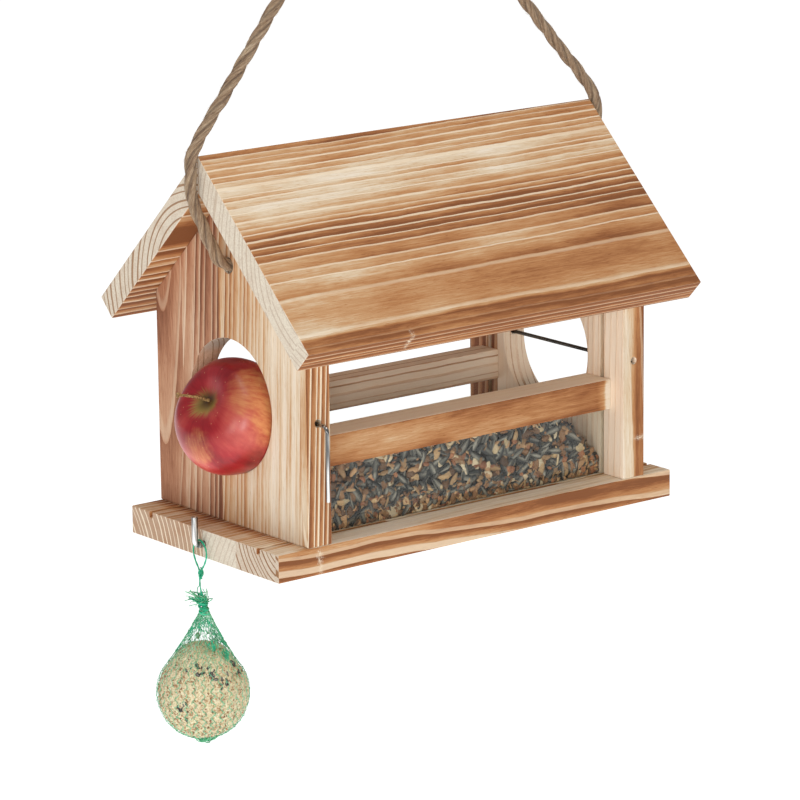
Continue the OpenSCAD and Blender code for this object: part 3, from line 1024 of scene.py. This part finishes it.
def seed_height(x, y):
    """Height of the seed bed's surface above the floor board. It dips under the apple."""
    top = SEED_TOP - (y + SEED_SIDE) * SEED_SLOPE
    fall = np.clip((x - SEED_SLOPE_X) / (SEED_END - SEED_SLOPE_X), 0, 1)
    top = np.minimum(top, SEED_TOP * (1 - (1 - SEED_LOW_SHARE) * fall))
    away = (x - APPLE_X) ** 2 + y ** 2
    under = APPLE_Z - np.sqrt(np.maximum(APPLE_ROOM**2 - away, 0))
    return np.where(away < APPLE_ROOM**2, np.minimum(top, under), top)


def kernel(length, width, thick, point=0.0, flat=0.0, arch=0.0, rings=8, around=9):
    """One closed seed shape. Returns points, its long share and its angle per point."""
    u = (1 - np.cos(np.linspace(0, math.pi, rings + 1))) / 2
    u = 0.002 + 0.996 * u
    shape = np.sqrt(u * (1 - u)) * 2
    shape = shape * (1 - point * (u - 0.35))
    angle = angles_round(around)
    x = (u[:, None] - 0.5) * length * np.ones((1, around))
    y = shape[:, None] * np.cos(angle) * width / 2
    z = shape[:, None] * np.sin(angle) * thick / 2
    z = np.where(z < 0, z * (1 - flat), z) + arch * (1 - (2 * u[:, None] - 1) ** 2)
    share = u[:, None] * np.ones((1, around))
    turn = angle[None, :] * np.ones((rings + 1, 1))
    points = np.stack([x, y, z], -1).reshape(-1, 3)
    return points, ring_faces(rings + 1, around), share.ravel(), turn.ravel()


def chip(size, dice):
    """An angular crumb: a small ball cut flat on random sides."""
    points, faces, share, turn = kernel(1, 1, 1, rings=7, around=10)
    way = unit_rows(points)
    cuts = unit_rows(dice.normal(size=(9, 3)))
    reach = dice.uniform(0.6, 0.95, 9) / np.maximum(way @ cuts.T, 0.05)
    half = np.minimum(reach.min(1), 1.0)[:, None] * size / 2
    return way * half * (1, 0.8, 0.5), faces, share, turn


def seed_kinds(dice):
    """(share of the mix, shape, colour function) for each kind in the mix."""
    slate, ash = linear(46, 47, 46)[:3], linear(196, 190, 174)[:3]

    def striped(share, turn, luck):
        stripe = np.clip(np.cos(turn * 4 + 0.4) * 2.6 - 1.5, 0, 1)
        stripe = stripe * np.clip(4 * share * (1 - share), 0, 1) * (0.25 + 0.6 * luck)
        return np.outer(1 - stripe, slate) + np.outer(stripe, ash)

    def plain(dark, light):
        def paint(share, turn, luck):
            tone = np.clip(luck + 0.25 * np.cos(turn) * share, 0, 1)
            return np.outer(1 - tone, dark[:3]) + np.outer(tone, light[:3])
        return paint

    straw = plain(linear(146, 108, 72), linear(216, 178, 130))
    tan = plain(linear(150, 106, 70), linear(212, 166, 120))
    cream = plain(linear(202, 176, 136), linear(236, 216, 182))
    rust = plain(linear(136, 84, 54), linear(190, 128, 88))
    brown = plain(linear(92, 66, 46), linear(152, 110, 74))
    return [
        (0.44, kernel(13.6, 6.4, 3.2, point=0.7), striped),
        (0.13, kernel(9.0, 4.6, 2.0, point=0.3, flat=0.6, arch=0.5), straw),
        (0.13, kernel(7.4, 4.2, 2.8, flat=0.3), tan),
        (0.035, kernel(12.0, 9.2, 3.4, flat=0.85), cream),
        (0.08, kernel(6.2, 5.2, 3.4), rust),
        (0.13, chip(8.0, dice), brown),
        (0.035, chip(6.4, dice), tan),
        (0.03, chip(6.6, dice), cream),
    ]


def turn_matrices(spin, tilt, roll):
    """Rotations: roll about X, tilt about Y, then spin about Z. Arrays of angles."""
    cs, ss, ct, st, cr, sr = (f(a) for a in (spin, tilt, roll) for f in (np.cos, np.sin))
    matrix = np.empty((len(spin), 3, 3))
    matrix[:, 0] = np.stack([cs * ct, cs * st * sr - ss * cr, cs * st * cr + ss * sr], 1)
    matrix[:, 1] = np.stack([ss * ct, ss * st * sr + cs * cr, ss * st * cr - cs * sr], 1)
    matrix[:, 2] = np.stack([-st, ct * sr, ct * cr], 1)
    return matrix


def pull_inside(placed):
    """Shifts each seed back between the panes, the gables and the floor board."""
    for axis, reach in enumerate((SEED_END - 0.2, SEED_SIDE + 0.1)):
        over = np.maximum(placed[..., axis].max(1) - reach, 0)
        under = np.maximum(-reach - placed[..., axis].min(1), 0)
        placed[..., axis] += (under - over)[:, None]
    middle = placed.mean(1)
    ceiling = seed_height(middle[:, 0], middle[:, 1]) + SEED_PROUD
    placed[..., 2] -= np.maximum(placed[..., 2].max(1) - ceiling, 0)[:, None]
    placed[..., 2] += np.maximum(SEED_FLOOR - placed[..., 2].min(1), 0)[:, None]
    return placed


def upright_from(direction):
    """Rotation that turns +Z to direction, as an array."""
    return np.array(Vector(direction).to_track_quat("Z", "Y").to_matrix())


def scatter_seeds(name, count, place, lay_normal, dice, material, size=1.0,
                  kinds=range(8), tilt=0.32):
    """Merges count seeds into one piece. place(n) gives their centres in house mm."""
    parts, colours = [], []
    lay = upright_from(lay_normal)
    mix = seed_kinds(dice)
    for share, (points, faces, along, turn), paint in (mix[k] for k in kinds):
        number = int(count * share)
        centres = place(number)
        angles = turn_matrices(dice.uniform(0, FULL_TURN, number),
                               dice.normal(0, tilt, number),
                               dice.normal(0, 3 * tilt, number))
        angles = np.einsum("ij,njk->nik", lay, angles)
        scale = dice.uniform(0.72, 1.12, number) * size
        placed = np.einsum("nij,vj->nvi", angles, points) * scale[:, None, None]
        parts += [(seed, faces) for seed in pull_inside(placed + centres[:, None])]
        luck = dice.uniform(0, 1, number)
        shade = dice.uniform(0.8, 1.12, number)
        colours += [paint(along, turn, a) * b for a, b in zip(luck, shade)]
    piece = joined_piece(name, parts, material, "house")
    store_tint(piece, colours)
    return piece


def seed_material():
    g = Graph("seed_mix")
    mottle = g.noise(g.space(), 1500, 3, 0.6)
    colour = g.mix(g.step(mottle, 0.3, 0.75, 0.0, 0.35), g.attribute("tint", "Color"),
                   linear(70, 52, 36), "MULTIPLY")
    return g.finish(Base_Color=colour, Roughness=0.42 + mottle * 0.3,
                    Normal=g.bump(mottle, 0.0003, 0.5))


def painted_shade_core_material():
    g = Graph("seed_core_shade")
    # Painted shade: dark browns for the deep gaps between seeds.
    colour = g.ramp(g.noise(g.space(), 420, 4, 0.7),
                    shades((0.3, 26, 22, 18), (0.55, 62, 48, 34), (0.75, 110, 84, 56)))
    return g.finish(Base_Color=colour, Roughness=0.9)


def make_seeds():
    dice = np.random.default_rng(8)
    look = seed_material()
    forward, backward, up = (0, -1, 0), (0, 1, 0), (0, 0, 1)

    spots = [(x, z) for x in np.arange(-SEED_END + 2, SEED_END, SEED_GRID)
             for z in np.arange(3, SEED_TOP, 0.8 * SEED_GRID)]
    spots = dice.permutation(np.array(spots))

    def spaced_out(n):
        nonlocal spots
        chosen, spots = spots[:n], spots[n:]
        x, z = (chosen + dice.uniform(-0.3, 0.3, chosen.shape) * SEED_GRID).T
        fits = z < seed_height(x, -SEED_SIDE) + 1
        y = dice.uniform(0.8, 2.0, len(x)) - SEED_SIDE
        return np.stack([x, y, np.where(fits, z, 8)], 1)

    def against(side):
        def place(n):
            x = dice.uniform(-SEED_END, SEED_END, n)
            y = side * (SEED_SIDE - dice.uniform(1.5, 7.0, n))
            z = dice.uniform(0, 1, n) * (seed_height(x, y) + 0.5)
            return np.stack([x, y, z], 1)
        return place

    def low_down(n):
        x = dice.uniform(-SEED_END, SEED_END, n)
        y = dice.uniform(0.0, 2.0, n) - SEED_SIDE
        return np.stack([x, y, dice.uniform(0, 1, n) ** 1.6 * 16], 1)

    def on_top(n):
        x = dice.uniform(-SEED_END, SEED_END, n)
        y = dice.uniform(-SEED_SIDE, SEED_SIDE, n)
        z = seed_height(x, y) - dice.uniform(0, 5.5, n) + 0.8
        return np.stack([x, y, z], 1)

    front = scatter_seeds("seeds_front", 1400, against(-1), forward, dice, look)
    scatter_seeds("seeds_flat", len(spots), spaced_out, forward, dice, look, size=1.1,
                  tilt=0.10)
    scatter_seeds("seeds_low", 700, low_down, forward, dice, look, size=0.62,
                  kinds=SMALL_KINDS)
    scatter_seeds("seeds_back", 1300, against(1), backward, dice, look)
    scatter_seeds("seeds_top", 2500, on_top, up, dice, look)
    make_seed_core()
    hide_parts("seed_fill")


def make_seed_core():
    """A mass behind the visible layers of seed, coloured dark as painted shade of the deep gaps.
    """
    inset, sink, columns, rows = 4.5, 4.0, 60, 28
    x = np.linspace(-SEED_END + 1, SEED_END - 1, columns)
    y = np.linspace(-SEED_SIDE + inset, SEED_SIDE - inset, rows)
    gx, gy = np.meshgrid(x, y, indexing="ij")
    bumps = 0.9 * np.sin(gx * 0.9 + gy * 0.5) * np.cos(gy * 1.1 - gx * 0.3)
    top = np.stack([gx, gy, np.maximum(seed_height(gx, gy) - sink + bumps, 1)], -1)
    low = top.copy()
    low[..., 2] = SEED_FLOOR
    points = np.vstack([top.reshape(-1, 3), low.reshape(-1, 3)])

    cell = np.arange(columns * rows).reshape(columns, rows)
    upper = np.stack([cell[:-1, :-1], cell[1:, :-1], cell[1:, 1:], cell[:-1, 1:]],
                     -1).reshape(-1, 4)
    under = upper[:, ::-1] + cell.size
    rim = np.r_[cell[:, 0], cell[-1, 1:], cell[-2::-1, -1], cell[0, -2:0:-1]]
    after = np.roll(rim, -1)
    wall = np.stack([rim, cell.size + rim, cell.size + after, after], 1)
    core = new_piece("seed_core_shade", in_frame(points), np.vstack([upper, under, wall]).tolist(),
                     painted_shade_core_material(), "house")


make_seeds()


# ---- apple ----

APPLE_AT = at(APPLE_X, 0, APPLE_Z)
APPLE_RADIUS = 37.0
APPLE_HALF = 33.0
APPLE_LOW_HALF = 36.0
# the direction in which the apple is fuller than a round one
APPLE_FULL_SIDE = Vector((0.35, -0.45, -0.8))
APPLE_FULLNESS = 0.10
APPLE_TURN = Matrix.Rotation(math.radians(183), 4, "Z") @ Matrix.Rotation(
    math.radians(58), 4, "Y")
STALK_FROM = (-151.6, -0.9, 81.2)
STALK_TO = (-175.6, 3.8, 88.3)
STALK_BOW = (0, -0.36, 0.9)


def apple_shape(rings=84, around=110):
    """Points of an apple with its stem end up, in mm, round its own middle."""
    t = np.radians(np.linspace(0.6, 179.4, rings))[:, None]
    a = angles_round(around)[None, :]
    full = APPLE_TURN.inverted() @ APPLE_FULL_SIDE
    lobes = (1 + 0.016 * np.cos(5 * a + 0.4) * np.sin(t / 2) ** 4
             + APPLE_FULLNESS * np.cos(a - math.atan2(full.y, full.x)) * np.sin(t))
    radius = APPLE_RADIUS * np.sin(t) * (1 + 0.05 * np.cos(t)) * lobes
    degrees = np.degrees(t)
    well = 12.0 * np.exp(-(degrees / (23 + 2 * np.cos(a - 2))) ** 2)
    calyx = 6.0 * np.exp(-((180 - degrees) / 18) ** 2) * (1 + 0.25 * np.cos(5 * a))
    shoulder = 1.2 * np.cos(2 * a + 0.7) * np.exp(-((degrees - 38) / 22) ** 2)
    half = np.where(degrees > 90, APPLE_LOW_HALF, APPLE_HALF)
    z = half * np.cos(t) - well + calyx + shoulder
    x, y = radius * np.cos(a), radius * np.sin(a)
    return np.stack([x, y, z * np.ones_like(x)], -1).reshape(-1, 3), ring_faces(rings, around)


def toward(way):
    """A world direction in the apple's own space."""
    return APPLE_TURN.inverted().to_3x3() @ Vector(way)


def lit_side(g, direction, way, low, high):
    """1 on the side of the apple that faces way, a world direction."""
    return g.step(g.dot(direction, toward(way).normalized()), low, high)


def apple_blush(g, direction, broad, mottle, streaks):
    """How golden the skin is: three sunlit patches, broken up by noise."""
    sides = [lit_side(g, direction, *side) for side in (
        ((-0.15, -0.80, 0.58), 0.80, 1.03), ((-0.95, -0.25, -0.40), 0.90, 1.04),
        ((0.15, -0.97, 0.08), 0.80, 1.0))]
    blush = g.math("MAXIMUM", g.math("MAXIMUM", sides[0], sides[1]), sides[2])
    return blush + (broad - 0.5) * 0.9 + (mottle - 0.5) * 0.9 + (streaks - 0.5) * 0.3


def with_stalk_well(g, skin, reach, circle, height):
    """Adds the russet well with its ragged rays, at reach mm from the apple's axis."""
    rays = g.noise(circle, (9.0, 9.0, 0.0), 4, 0.7)
    edge = reach + (rays - 0.5) * 15.0 - g.dot(circle, toward((-0.45, -0.1, -0.9))) * 3.5
    well = g.ramp(reach / 20.0, shades(
        (0.06, 40, 32, 14), (0.22, 84, 70, 28), (0.45, 140, 122, 58), (0.8, 176, 136, 78)))
    share = g.step(height, 2.0, 8.0) * g.step(edge, 4.5, 12.0, 0.92, 0.0)
    return g.mix(share, skin, well)


def apple_material():
    g = Graph("apple_skin")
    where = g.vector("MULTIPLY", g.space(), (1 / MM,) * 3)
    x, y, z = (g.dot(where, way) for way in (X, Y, Z))
    circle = g.vector("NORMALIZE", g.xyz(x, y))
    direction = g.vector("NORMALIZE", where)
    round_it = g.vector("ADD", g.vector("MULTIPLY", circle, (15.0, 15.0, 0.0)),
                        g.xyz(0.0, 0.0, z * 0.13))
    streaks = g.noise(round_it, 1.0, 4, 0.6)
    broad = g.noise(where, (0.045, 0.045, 0.03))
    mottle = g.noise(where, 0.16, 4, 0.6)
    skin = g.ramp(streaks * 0.2 + broad * 0.8, shades(
        (0.34, 122, 12, 22), (0.48, 170, 34, 40), (0.64, 204, 78, 70)))
    gold = g.ramp(streaks, shades((0.3, 200, 102, 66), (0.62, 224, 160, 98)))
    blush = apple_blush(g, direction, broad, mottle, streaks)
    # Painted highlight: a soft pinkish patch on the side that faces the front.
    painted_highlight = lit_side(g, direction, (-0.12, -0.96, 0.12), 0.70, 1.0)
    skin = g.mix(painted_highlight * (mottle * 0.9), skin, linear(224, 126, 104))
    skin = g.mix(g.step(blush, 0.1, 1.0, 0.0, 0.8), skin, gold)
    skin = g.mix(g.step(z, 8.0, 27.0, 0.0, 0.5), skin, linear(112, 16, 26))
    skin = with_stalk_well(g, skin, g.length(x, y), circle, z)
    dot = g.step(g.cells(where, 0.23), 0.05, 0.10, 0.5, 0.0)
    skin = g.mix(dot, skin, linear(222, 176, 130))
    return g.finish(
        Base_Color=skin, Roughness=0.26 + streaks * 0.12, Specular_IOR_Level=0.42,
        Subsurface_Weight=0.06, Subsurface_Scale=0.003, Subsurface_Radius=(1.0, 0.4, 0.2),
        Normal=g.bump(g.noise(where, 0.30, 3), 0.0002, 0.3),
    )


def stalk_material():
    g = Graph("apple_stalk")
    tone = g.noise(g.space(), 900, 3)
    colour = g.ramp(tone, shades((0.3, 84, 58, 32), (0.5, 140, 106, 62), (0.7, 186, 152, 96)))
    return g.finish(Base_Color=colour, Roughness=0.7, Normal=g.bump(tone, 0.0005, 0.7))


def make_apple():
    points, faces = apple_shape()
    apple = new_piece("apple_fruit_skin", points * MM, faces, apple_material(), "apple_fruit",
                      Matrix.Translation(APPLE_AT) @ APPLE_TURN)
    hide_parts("apple")


def make_stalk():
    """The apple's stalk: thin, a little bowed, with a knob on its outer end."""
    start, end = np.array(STALK_FROM), np.array(STALK_TO)
    rings, sides = 40, 14
    share = np.linspace(0, 1, rings)
    bow = np.outer(np.sin(share * math.pi), STALK_BOW)
    path = start + np.outer(share, end - start) + bow
    knob = 1.1 * np.exp(-((share - 0.96) / 0.035) ** 2)
    radius = 0.85 + 0.35 * (1 - share) ** 4 + knob
    radius[-1] = 0.6
    stalk = swept(path, lambda r, a: radius[r] * (1 + 0.10 * np.sin(3 * a + r * 0.4)), sides)
    piece = new_piece("apple_stalk", in_frame(stalk), ring_faces(rings, sides),
                      stalk_material(), "apple_fruit")
    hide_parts("apple_stem")


make_apple()
make_stalk()


# ---- fat ball and net ----

BALL_RADIUS = 29.3
BALL_CENTRE = np.array([BALL_X, 0.0, -105.0])
NECK_AT = 54.0
NECK_RADIUS = 2.2
NET_COLUMNS = 31
NET_ROWS = 37
# shares of the way from the ball's bottom to the neck: where the net and its cone start
NET_FROM = 0.02
CONE_FROM = 0.62
NECK_SHIFT = np.array([1.5, -1.2, 0.0])
TUFT_LEAN = np.array([-2.4, 1.9, 0.0])
LOOSE_SEED = np.array([-3.6, -1.0, 38.0])
# azimuth and elevation, in degrees, of the clumps of hulls in the fat ball
CLUMPS = [(-55, 50), (-52, 44), (-21, 40), (-3, 27), (32, 50), (41, 30), (-67, -4),
          (-62, -17), (118, 12), (170, -20), (70, -15), (-130, 25)]
# kind of seed, how many of it and how large, in the ball's surface; hulls lie in clumps
HULLS = 0
BALL_BITS = [(HULLS, 66, 0.33), (1, 340, 0.24), (2, 340, 0.22), (4, 120, 0.20),
             (5, 90, 0.20), (6, 620, 0.19), (7, 900, 0.21)]


def lumps(directions, dice, count, width, height):
    """Sum of soft bumps at random places on a sphere."""
    total = np.zeros(len(directions))
    for centre in unit_rows(dice.normal(size=(count, 3))):
        near = np.exp(-(1 - directions @ centre) / width)
        total += dice.uniform(-1, 1) * height * near
    return total


def ball_reach(way):
    """Distance of the pressed ball's surface from its middle: its top fills the net."""
    top = np.degrees(np.arccos(np.clip(way[..., 2], -1, 1)))
    return BALL_RADIUS - 1.0 + 4.0 * np.exp(-(top / 36) ** 4)


def make_fat_ball():
    dice = np.random.default_rng(4)
    rings, around = 170, 270
    t = np.linspace(0.01, math.pi - 0.01, rings)[:, None]
    a = angles_round(around)[None, :]
    way = np.stack([np.sin(t) * np.cos(a), np.sin(t) * np.sin(a),
                    np.cos(t) * np.ones_like(a)], -1).reshape(-1, 3)
    rough = (lumps(way, dice, 30, 0.06, 0.7) + lumps(way, dice, 700, 0.0022, 0.55)
             + lumps(way, dice, 1600, 0.0006, 0.5))
    points = BALL_CENTRE + way * (ball_reach(way) + np.clip(rough, -1.7, 0.9))[:, None]
    ball = new_piece("fat_ball_body", in_frame(points), ring_faces(rings, around),
                     suet_material(), "netted_ball")
    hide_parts("fat_ball")


def suet_material():
    g = Graph("suet_and_seed")
    where = g.vector("MULTIPLY", g.space(), (1 / MM,) * 3)
    grainy = g.noise(where, 0.9, 4, 0.7)
    colour = g.ramp(grainy, shades(
        (0.30, 150, 120, 80), (0.42, 206, 186, 142), (0.53, 232, 218, 180),
        (0.72, 244, 236, 210)))
    husk = g.step(g.cells(where, 0.42), 0.16, 0.30, 1.0, 0.0)
    pick = g.step(g.dot(g.cells(where, 0.42, "Color"), X), 0.7, 0.76)
    colour = g.mix(husk * pick * 0.7, colour, linear(176, 128, 84))
    return g.finish(Base_Color=colour, Roughness=0.68, Subsurface_Weight=0.1,
                    Subsurface_Scale=0.002, Normal=g.bump(grainy, 0.0012, 0.7))


def make_ball_bits():
    """Seeds, husks and crumbs that show in the fat ball's surface."""
    dice = np.random.default_rng(21)
    kinds = seed_kinds(dice)
    clumps = np.array([heading(*clump) for clump in CLUMPS])
    parts, colours = [], []
    for kind, number, size in BALL_BITS:
        _, (points, faces, along, turn), paint = kinds[kind]
        ways = unit_rows(dice.normal(size=(number, 3)))
        if kind == HULLS:
            ways = unit_rows(clumps[dice.integers(0, len(CLUMPS), number)]
                             + dice.normal(0, 0.085, (number, 3)))
        for way in ways:
            spin = turn_matrices(dice.uniform(0, 6.28, 1), dice.normal(0, 0.3, 1),
                                 dice.normal(0, 0.4, 1))[0]
            placed = points @ (upright_from(way) @ spin).T * size * dice.uniform(0.75, 1.2)
            parts.append((placed + BALL_CENTRE + way * (ball_reach(way) - 0.1), faces))
            colours.append(paint(along, turn, dice.uniform()))
    points, faces, _, turn = kernel(4.6, 3.0, 2.2)
    parts.append((points[:, [2, 1, 0]] + BALL_CENTRE + LOOSE_SEED, faces))
    colours.append(np.outer(0.8 + 0.2 * np.cos(turn), linear(128, 128, 62)[:3]))
    bits = joined_piece("fat_ball_seeds", parts, seed_material(), "netted_ball")
    store_tint(bits, colours)


def bag_profile(share):
    """Radius and height of the net, share running from its bottom to its neck."""
    outer = BALL_RADIUS + 0.1
    leave = math.acos(outer / (NECK_AT + 5))
    arc = (math.pi - leave) * outer
    top_r, top_z = outer * math.sin(leave), outer * math.cos(leave)
    straight = math.hypot(top_r - NECK_RADIUS, NECK_AT - top_z)
    run = np.asarray(share) * (arc + straight)
    t = math.pi - run / outer
    on_arc = run < arc
    far = np.clip((run - arc) / straight, 0, 1)
    sag = 1.2 * np.sin(far * math.pi)
    radius = np.where(on_arc, outer * np.sin(t), top_r + (NECK_RADIUS - top_r) * far - sag)
    height = np.where(on_arc, outer * np.cos(t), top_z + (NECK_AT - top_z) * far)
    return radius, height


def neck_shift(share):
    """How far the net's cone leans aside at a share of the way up."""
    return np.multiply.outer(np.clip((share - CONE_FROM) / (1 - CONE_FROM), 0, 1), NECK_SHIFT)


def on_ball(radius, angle, height):
    """Points round the fat ball's upright axis."""
    return np.stack([radius * np.cos(angle), radius * np.sin(angle), height], 1) + BALL_CENTRE


def thread(path, thickness, sides=4):
    return (swept(path, lambda ring, angle: thickness / 2, sides),
            ring_faces(len(path), sides, False))


def net_threads(dice):
    """The knitted bag: two sets of zigzag threads that meet in rows of knots."""
    steps = 4 * NET_ROWS + 1
    share = np.linspace(NET_FROM, 1.0, steps)
    radius, height = bag_profile(share)
    half = math.pi / NET_COLUMNS
    free = np.clip((share - 0.60) / 0.12, 0, 1)
    proud = (0.5 * np.clip((share - 0.36) / 0.2, 0, 1)
             + 0.4 * np.clip((0.14 - share) / 0.1, 0, 1) - 0.30)

    def uneven(run):
        """Random offsets, each held for run points."""
        return np.repeat(dice.normal(0, 1, steps // run + 2), run)[:steps]

    for way in (0, 1):
        for k in range(NET_COLUMNS):
            wave = (share * NET_ROWS + way) % 2
            zigzag = np.abs(wave - 1) * half * (1 - 0.25 * free)
            angle = 2 * half * k + zigzag * (1 - 2 * way) + way * half
            angle = angle + 0.010 * uneven(3) + free * 0.07 * uneven(4)
            sunk = 0.24 * np.cos(wave * FULL_TURN) + proud
            r = radius + np.where(free > 0, free * dice.normal(0, 0.25, steps), sunk)
            yield thread(on_ball(r, angle, height) + neck_shift(share),
                         dice.uniform(0.22, 0.34))


def net_knots(dice):
    """Small thickenings where the bag's threads are knitted together."""
    half = math.pi / NET_COLUMNS
    for row in range(1, NET_ROWS):
        share = NET_FROM + (1 - NET_FROM) * row / NET_ROWS
        radius, height = bag_profile(np.array([share, share + 0.009]))
        for k in range(NET_COLUMNS):
            if dice.uniform() < 0.45:
                continue
            angle = 2 * half * k + (row % 2) * half + dice.normal(0, 0.02)
            clump = dice.uniform(1.0, 2.2) if share > 0.66 and dice.uniform() < 0.4 else 1.0
            path = on_ball(radius, angle, height) + neck_shift(share)
            yield thread(path + dice.normal(0, 0.12, 3), clump * dice.uniform(0.36, 0.6), 5)


def net_bunch(dice):
    """A few threads of the bag that cling together in its cone."""
    count, steps = 6, 6
    share, angle = dice.uniform(0.70, 0.93), dice.uniform(0, FULL_TURN)
    for _ in range(count):
        reach = dice.uniform(0.015, 0.035)
        radius, height = bag_profile(share + np.linspace(-reach, reach, steps))
        turn = angle + dice.normal(0, 0.9) / radius.mean() + np.cumsum(
            dice.normal(0, 0.7, steps)) / radius
        yield thread(on_ball(radius, turn, height) + neck_shift(share),
                     dice.uniform(0.3, 0.6), 5)


def bottom_curl(dice):
    """One loose thread end where the net is gathered under the ball."""
    angle = dice.uniform(0, FULL_TURN)
    t = np.linspace(0, 1, 10)
    r = 1.0 + 9.0 * t * dice.uniform(0.3, 1)
    z = -BALL_RADIUS - 0.3 - 2.8 * np.sin(t * math.pi) * dice.uniform(0.3, 1) + 1.8 * t**2
    return thread(on_ball(r, angle + np.sin(t * 6) * 0.5, z), 0.75)


def tuft_thread(dice):
    """One frayed thread above the neck."""
    angle = dice.uniform(0, FULL_TURN)
    t = np.linspace(0, 1, 9)
    r = 1.6 + 6.8 * t**1.5 * dice.uniform(0.1, 1.15)
    z = NECK_AT + 3.5 + 11.5 * t * dice.uniform(0.3, 1) - 5.0 * t**3 * dice.uniform(0, 1)
    curl = angle + dice.normal(0, 1.0) * t**2
    path = on_ball(r, curl, z) + NECK_SHIFT + np.outer(t, TUFT_LEAN)
    return thread(path, dice.uniform(0.3, 0.75))


def neck_core(dice):
    """One thread that runs straight through the neck, round the string's foot."""
    angle = dice.uniform(0, FULL_TURN)
    t = np.linspace(0, 1, 8)
    z = NECK_AT - 3 + 18.3 * t * dice.uniform(0.9, 1)
    path = on_ball(1.6 - 1.3 * t, angle, z) + np.outer(t, (0, 0.6, 0))
    return thread(path + np.outer(1 - t, NECK_SHIFT), 0.5, 5)


def neck_bundle(dice):
    """One thick strand of the gathered net inside the neck's winding."""
    angle, height = dice.uniform(0, FULL_TURN), np.linspace(-4, 6, 8)
    path = on_ball(dice.uniform(0.4, 1.7), angle + height * 0.1, NECK_AT + height)
    return thread(path + NECK_SHIFT, 1.2, 5)


def neck_wrap(k):
    """One slanted turn of the thread that ties the neck."""
    t = np.linspace(0, FULL_TURN, 26)
    z = NECK_AT - 1.6 + k + (1.0 + 0.4 * math.sin(3 * k)) * np.sin(t + k * 1.9)
    path = on_ball(2.6 + 0.45 * math.cos(k * 2.1), t, z)
    return thread(path + NECK_SHIFT + TUFT_LEAN * 0.05 * k, 1.3, 6)


def make_net():
    dice = np.random.default_rng(12)
    look = plastic_green("net_green", linear(64, 166, 118), linear(140, 210, 168))
    tie = plastic_green("tie_green", linear(0, 138, 96), linear(40, 196, 148))
    bag = [*net_threads(dice), *net_knots(dice), *(bottom_curl(dice) for _ in range(48)),
           *(tuft_thread(dice) for _ in range(45))]
    net = joined_piece("ball_net_threads", bag, look, "netted_ball")
    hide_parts("ball_net")
    gathered = [part for _ in range(28) for part in net_bunch(dice)]
    for make_one, count in ((tuft_thread, 30), (neck_core, 6), (neck_bundle, 14)):
        gathered += [make_one(dice) for _ in range(count)]
    gathered += [neck_wrap(k) for k in range(9)]
    neck = joined_piece("ball_net_neck", gathered, tie, "netted_ball")


make_fat_ball()
make_ball_bits()
make_net()


# ---- studio ----

FLOOR_HEIGHT_M = -1.1
FLOOR_HALF_M = 60.0
LIGHTS_AIM = at(0, 0, 90)
# name, azimuth, elevation, distance in metres, size in metres, watts
LIGHTS = [("key", -62, 10, 2.2, 0.45, 6), ("fill", -38, 8, 3.2, 0.5, 24),
          ("top", -20, 72, 2.2, 1.4, 22)]


def studio_floor():
    corners = [(x * FLOOR_HALF_M, y * FLOOR_HALF_M, FLOOR_HEIGHT_M)
               for x, y in ((-1, -1), (1, -1), (1, 1), (-1, 1))]
    g = Graph("studio_paper")
    tone = g.ramp(g.noise(g.space(), 3), [(0.3, 0.90), (0.7, 0.93)])
    paper = g.finish(Base_Color=tone, Roughness=0.9, Emission_Color=(1, 1, 1, 1),
                     Emission_Strength=0.74)
    new_object("studio_floor", corners, [(0, 1, 2, 3)], paper)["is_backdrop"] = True


def soft_light(name, azimuth, elevation, distance, size, power):
    """A square soft box aimed at the middle of the house."""
    back = heading(azimuth, elevation)
    data = bpy.data.lights.new(name, "AREA")
    data.shape = "SQUARE"
    data.size = size
    data.energy = power
    lamp = add_object(name, data)
    lamp.visible_camera = False
    lamp.location = LIGHTS_AIM + back * distance
    lamp.rotation_mode = "QUATERNION"
    lamp.rotation_quaternion = back.to_track_quat("Z", "Y")


def studio_light():
    scene = bpy.context.scene
    world = bpy.data.worlds.new("studio")
    scene.world = world
    world.use_nodes = True
    back = world.node_tree.nodes["Background"]
    back.inputs["Color"].default_value = (1, 1, 1, 1)
    back.inputs["Strength"].default_value = 0.35
    for light in LIGHTS:
        soft_light(*light)
    scene.view_settings.view_transform = "Standard"
    scene.view_settings.look = "None"


studio_floor()
studio_light()


# ---- finish ----

def write_sizes():
    boxes = {"cad": CAD_BOX, "visual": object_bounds()}
    plain = {name: [list(low), list(high)] for name, (low, high) in boxes.items()}


write_sizes()
